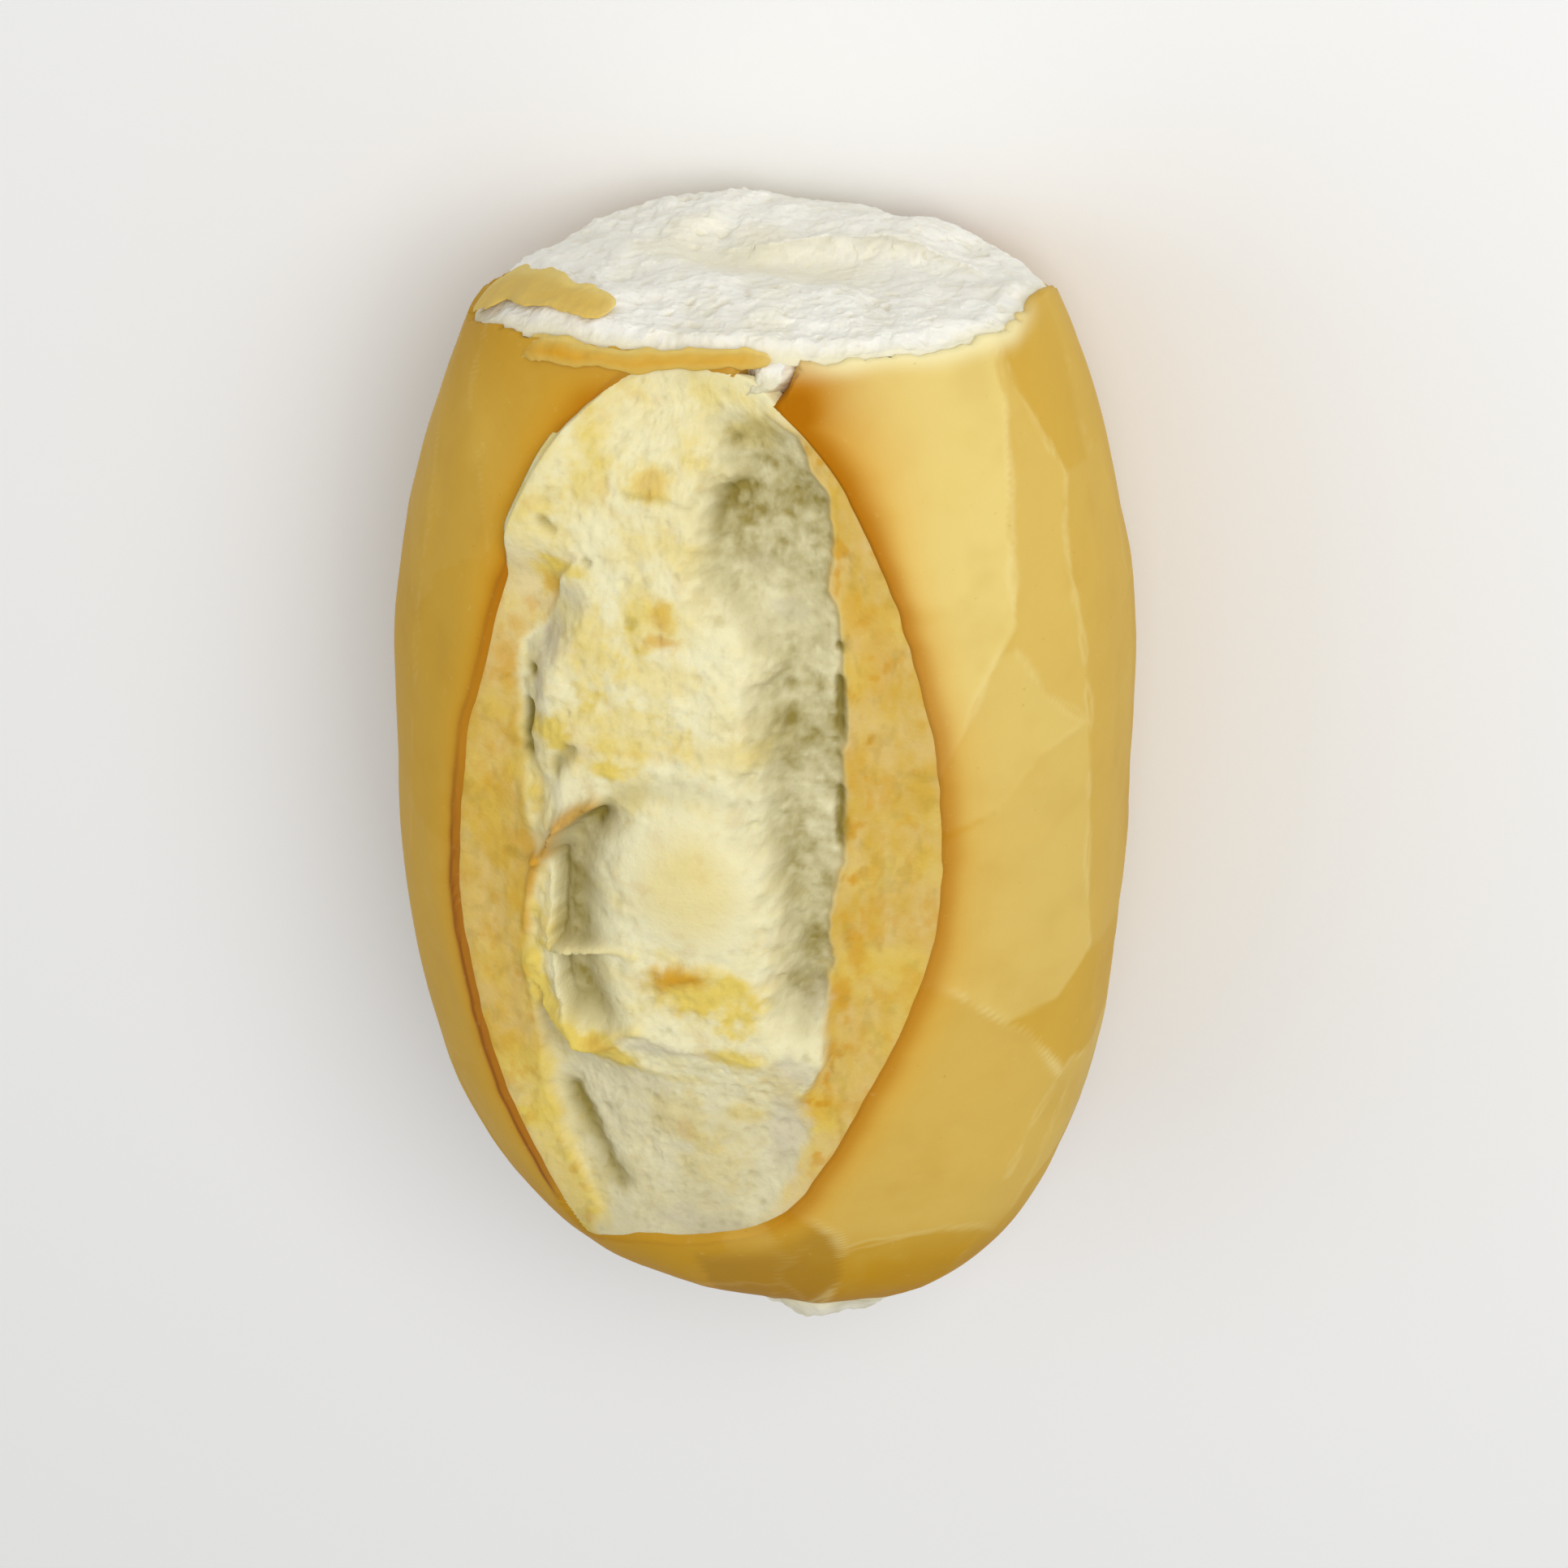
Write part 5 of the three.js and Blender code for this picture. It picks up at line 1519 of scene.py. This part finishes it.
@dataclass(frozen=True)
class Shred:
    """A torn strip of crust.

    Attributes:
        name: The piece's name.
        line: Corners of its middle line in space.
        half_width, thickness: Its size across, in millimetres.
        across: The direction of its width.
        seed: Start of its random edge.
        core: How golden its middle is.
        light: How pale it is.
        tip: Its width at its end, against 1 at its start.
        rows, columns: Points along and round it.
        rounds: How often its line is smoothed.
        fullness: Power of its section, below 1 for a fuller one.
    """

    name: str
    line: tuple[tuple[float, float, float], ...]
    half_width: float
    thickness: float
    across: tuple[float, float, float]
    seed: int
    core: float
    light: float
    tip: float
    rows: int = 150
    columns: int = 48
    rounds: int = 30
    fullness: float = 0.8

    def build(self, finish: bpy.types.Material) -> bpy.types.Object:
        """Makes the strip: a flattened oval carried along its line, rounded at both ends."""
        corners = np.array(self.line)
        share = 0.5 * (1 - np.cos(np.linspace(0.01, math.pi - 0.01, self.rows)))
        place = share * (len(corners) - 1)
        order = np.arange(len(corners))
        path = np.stack([np.interp(place, order, corners[:, axis]) for axis in range(3)], axis=1)
        for _ in range(self.rounds):
            path[1:-1] = 0.5 * path[1:-1] + 0.25 * (path[:-2] + path[2:])
        run = np.gradient(path, axis=0)
        run /= np.linalg.norm(run, axis=1, keepdims=True)
        side = np.array(self.across) - run * (run @ np.array(self.across))[:, None]
        side /= np.linalg.norm(side, axis=1, keepdims=True)
        out = np.cross(side, run)
        turn = np.linspace(0, math.tau, self.columns, endpoint=False)
        full = np.clip(1 - np.abs(2 * share - 1) ** 14, 0, 1) ** 0.5
        thin = full * (0.35 + 0.65 * smooth_step(0.0, 0.35, share))
        length = np.linalg.norm(np.diff(path, axis=0), axis=1).sum() * share
        wide = self.half_width * full * (1 - (1 - self.tip) * share**1.5)
        wide = wide * (1 + 0.2 * fractal(length, 0 * length, 2.4, self.seed, 4))
        sway = 0.3 * full * fractal(length, 0 * length, 4.0, self.seed + 6, 4)
        across = wide[:, None] * signed_power(np.cos(turn), self.fullness) + sway[:, None]
        up = 0.5 * self.thickness * thin[:, None] * signed_power(np.sin(turn), self.fullness)
        down_line, round_it = np.broadcast_arrays(length[:, None], 3.0 * np.cos(turn))
        up = up + 0.14 * fractal(down_line, round_it, 1.6, self.seed, 4) * full[:, None]
        points = path[:, None] + across[..., None] * side[:, None] + up[..., None] * out[:, None]
        middle = bell(np.cos(turn) + 0.25, 0.42)
        pale = self.light + 0.3 * smooth_step(0.1, 0.7, np.cos(turn))
        ends = smooth_step(1.0, 0.86, share) * smooth_step(0.0, 0.1, share)
        wavy = ((0.8 + 0.4 * soft_noise(length / 2.6, 0 * length, self.seed + 5)) * ends)[:, None]
        numbers = {"light": np.clip(pale, 0, 1), "gold": np.clip(self.core * middle * wavy, 0, 1),
                   "edge": 0.35 * (1 - full[:, None])}
        numbers = {key: np.broadcast_to(values, (self.rows, self.columns)) for key, values in numbers.items()}
        hub_numbers = {key: (values[0, 0], values[-1, 0]) for key, values in numbers.items()}
        surface = close_tube(points, (path[0], path[-1]), numbers, hub_numbers)
        return surface.to_object(self.name, finish, Slot.CRUST)


@dataclass
class TailScar:
    """The rough pale place on the tail, where the crust is torn away and bare crumb stands proud."""

    form: LoafForm
    side: int = 110
    centre: tuple[float, float] = (11.5, 33.5)
    reach: tuple[float, float] = (10.0, 7.0)
    proud: float = 2.6
    searched: float = -40.0
    searches: int = 240

    def build(self, finish: bpy.types.Material) -> bpy.types.Object:
        """Makes the scar: an oval patch over the tail's end, raised by ragged lumps.

        Its points lie on the smooth roll, at the first station whose section covers them.
        """
        across, over = disc_grid(self.side)
        edge = np.hypot(across, over)
        x, z = self.centre[0] + self.reach[0] * across, self.centre[1] + self.reach[1] * over
        stations = np.linspace(self.form.tail_tip_y + 0.02, self.searched, self.searches)
        lean, middle, half_width, crown, belly = self.form.section(stations)
        aside = np.abs(x[..., None] - lean) / half_width
        above = z[..., None] - middle
        tall = np.abs(above) / np.where(above > 0, crown, belly)
        power = np.where(above > 0, self.form.crown_power, self.form.belly_power)
        covered = aside**self.form.side_power + tall**power < 1
        y = stations[np.argmax(covered, axis=-1)]
        ragged = edge + 0.18 * fractal(x, z, 3.0, Seed.SCAR_RAG, 3)
        lift = (self.proud + 0.45 * fractal(x, z, 2.4, Seed.SCAR_LUMP, 4)) * fade(0.3, 1.0, ragged)
        top = np.stack([x, y - lift + 1.5 * smooth_step(0.85, 1.0, edge), z], axis=-1)
        # Painted shade in the scar's pores.
        numbers = {"pore_shade": 0.5 * smooth_step(-0.1, 0.7, fractal(x, z, 1.8, Seed.SCAR_PORE, 3)),
                   "edge": 0.4 + 0.5 * smooth_step(0.6, 0.95, ragged)}
        back = np.array([self.centre[0], -44.0, self.centre[1]])
        return close_patch(top, back, numbers).to_object("tail_scar", finish, Slot.CRUMB)


# The two shreds of crust at the left of the torn end.
TORN_SHREDS = (
    Shred(
        name="crust_strip",
        line=((-21.9, 52.2, 40.8), (-18.9, 54.2, 42.9), (-15.0, 55.0, 44.4), (-10.1, 55.8, 45.6),
              (-4, 56.8, 46.1), (1.5, 57.5, 45.8), (5.4, 57.9, 45.1)),
        half_width=1.3, thickness=0.9, across=(0.1, 0.8, -0.6), seed=Seed.STRIP,
        core=0.9, light=0.45, tip=0.7,
    ),
    Shred(
        name="crust_flap",
        line=((-28.8, 52.6, 30.2), (-26.0, 54.8, 31.8), (-22.4, 56.9, 34.8), (-18.6, 58.1, 37.8),
              (-15.2, 58.5, 39.8), (-11.9, 58.6, 41.0)),
        half_width=2.9, thickness=0.65, across=(0.1, 0.25, -1.0), seed=Seed.FLAP,
        core=0.12, light=0.6, tip=0.6,
    ),
)


# ---- Studio -------------------------------------------------------------------------------


@dataclass(frozen=True)
class Studio:
    """Camera, soft lights and the plain floor."""

    eye: tuple[float, float, float] = (147.65, 312.64, 549.78)
    target: tuple[float, float, float] = (3.0, 1.0, 27.0)
    up: tuple[float, float, float] = (-0.1565, 0.8817, -0.445)
    lens: float = 140.0
    sensor: float = 36.0
    half_floor: float = 3.0
    sky: float = 0.45

    def add_camera(self) -> None:
        """Adds the camera: 28 degrees towards the torn end, 13 to the right, rolled by 3."""
        eye, target = Vector(self.eye) + Vector(SHIFT), Vector(self.target) + Vector(SHIFT)
        back = (eye - target).normalized()
        right = Vector(self.up).cross(back).normalized()
        data = bpy.data.cameras.new("camera")
        data.lens, data.sensor_width, data.sensor_height = self.lens, self.sensor, self.sensor
        data.dof.use_dof = False
        camera = bpy.data.objects.new("camera", data)
        turned = Matrix((right, back.cross(right), back)).transposed().to_4x4()
        camera.matrix_world = Matrix.Translation(eye * MM) @ turned
        bpy.context.scene.collection.objects.link(camera)
        bpy.context.scene.camera = camera

    def add_light(self, name: str, place: tuple[float, float, float], size: float, power: float) -> None:
        """Adds a square soft light at a place in millimetres, facing the roll."""
        data = bpy.data.lights.new(name, "AREA")
        data.size, data.energy = size * MM, power
        light = bpy.data.objects.new(name, data)
        where = Vector(place)
        turned = (where - Vector((0, 0, 20))).to_track_quat("Z", "Y").to_matrix().to_4x4()
        light.matrix_world = Matrix.Translation(where * MM) @ turned
        bpy.context.scene.collection.objects.link(light)

    def add_floor(self) -> None:
        """Adds the pale floor."""
        mesh = bpy.data.meshes.new("floor")
        half = self.half_floor
        corners = [(-half, -half, 0), (half, -half, 0), (half, half, 0), (-half, half, 0)]
        mesh.from_pydata(corners, [], [(0, 1, 2, 3)])
        mesh.materials.append(FLOOR_PAPER.make())
        floor = bpy.data.objects.new("floor", mesh)
        bpy.context.scene.collection.objects.link(floor)

    def build(self) -> None:
        """Sets up the whole studio."""
        self.add_camera()
        self.add_light("key", (330.0, 330.0, 640.0), 420.0, 3.3)
        self.add_light("fill", (-420.0, 0.0, 520.0), 500.0, 0.5)
        world = bpy.data.worlds.new("studio")
        world.use_nodes = True
        background = world.node_tree.nodes["Background"].inputs
        background["Color"].default_value = (1.0, 1.0, 1.0, 1.0)
        background["Strength"].default_value = self.sky
        bpy.context.scene.world = world
        bpy.context.scene.view_settings.view_transform = "Standard"
        self.add_floor()


def main() -> None:
    """Builds the roll and its studio."""
    logging.basicConfig(level=logging.INFO, format="%(message)s")
    form = LoafForm()
    burst = Burst()
    crust, torn = BAKED_CRUST.make(), TORN_CRUMB.make()
    CrustSkin(form, burst, Crackle(form)).build(crust)
    BurstCrumb(form, burst).build(BURST_CRUMB.make())
    for piece in (TornCrumb(form), CrumbTongue(form), TailScar(form)):
        piece.build(torn)
    for shred in TORN_SHREDS:
        shred.build(crust)
    Studio().build()


if __name__ == "__main__":
    main()
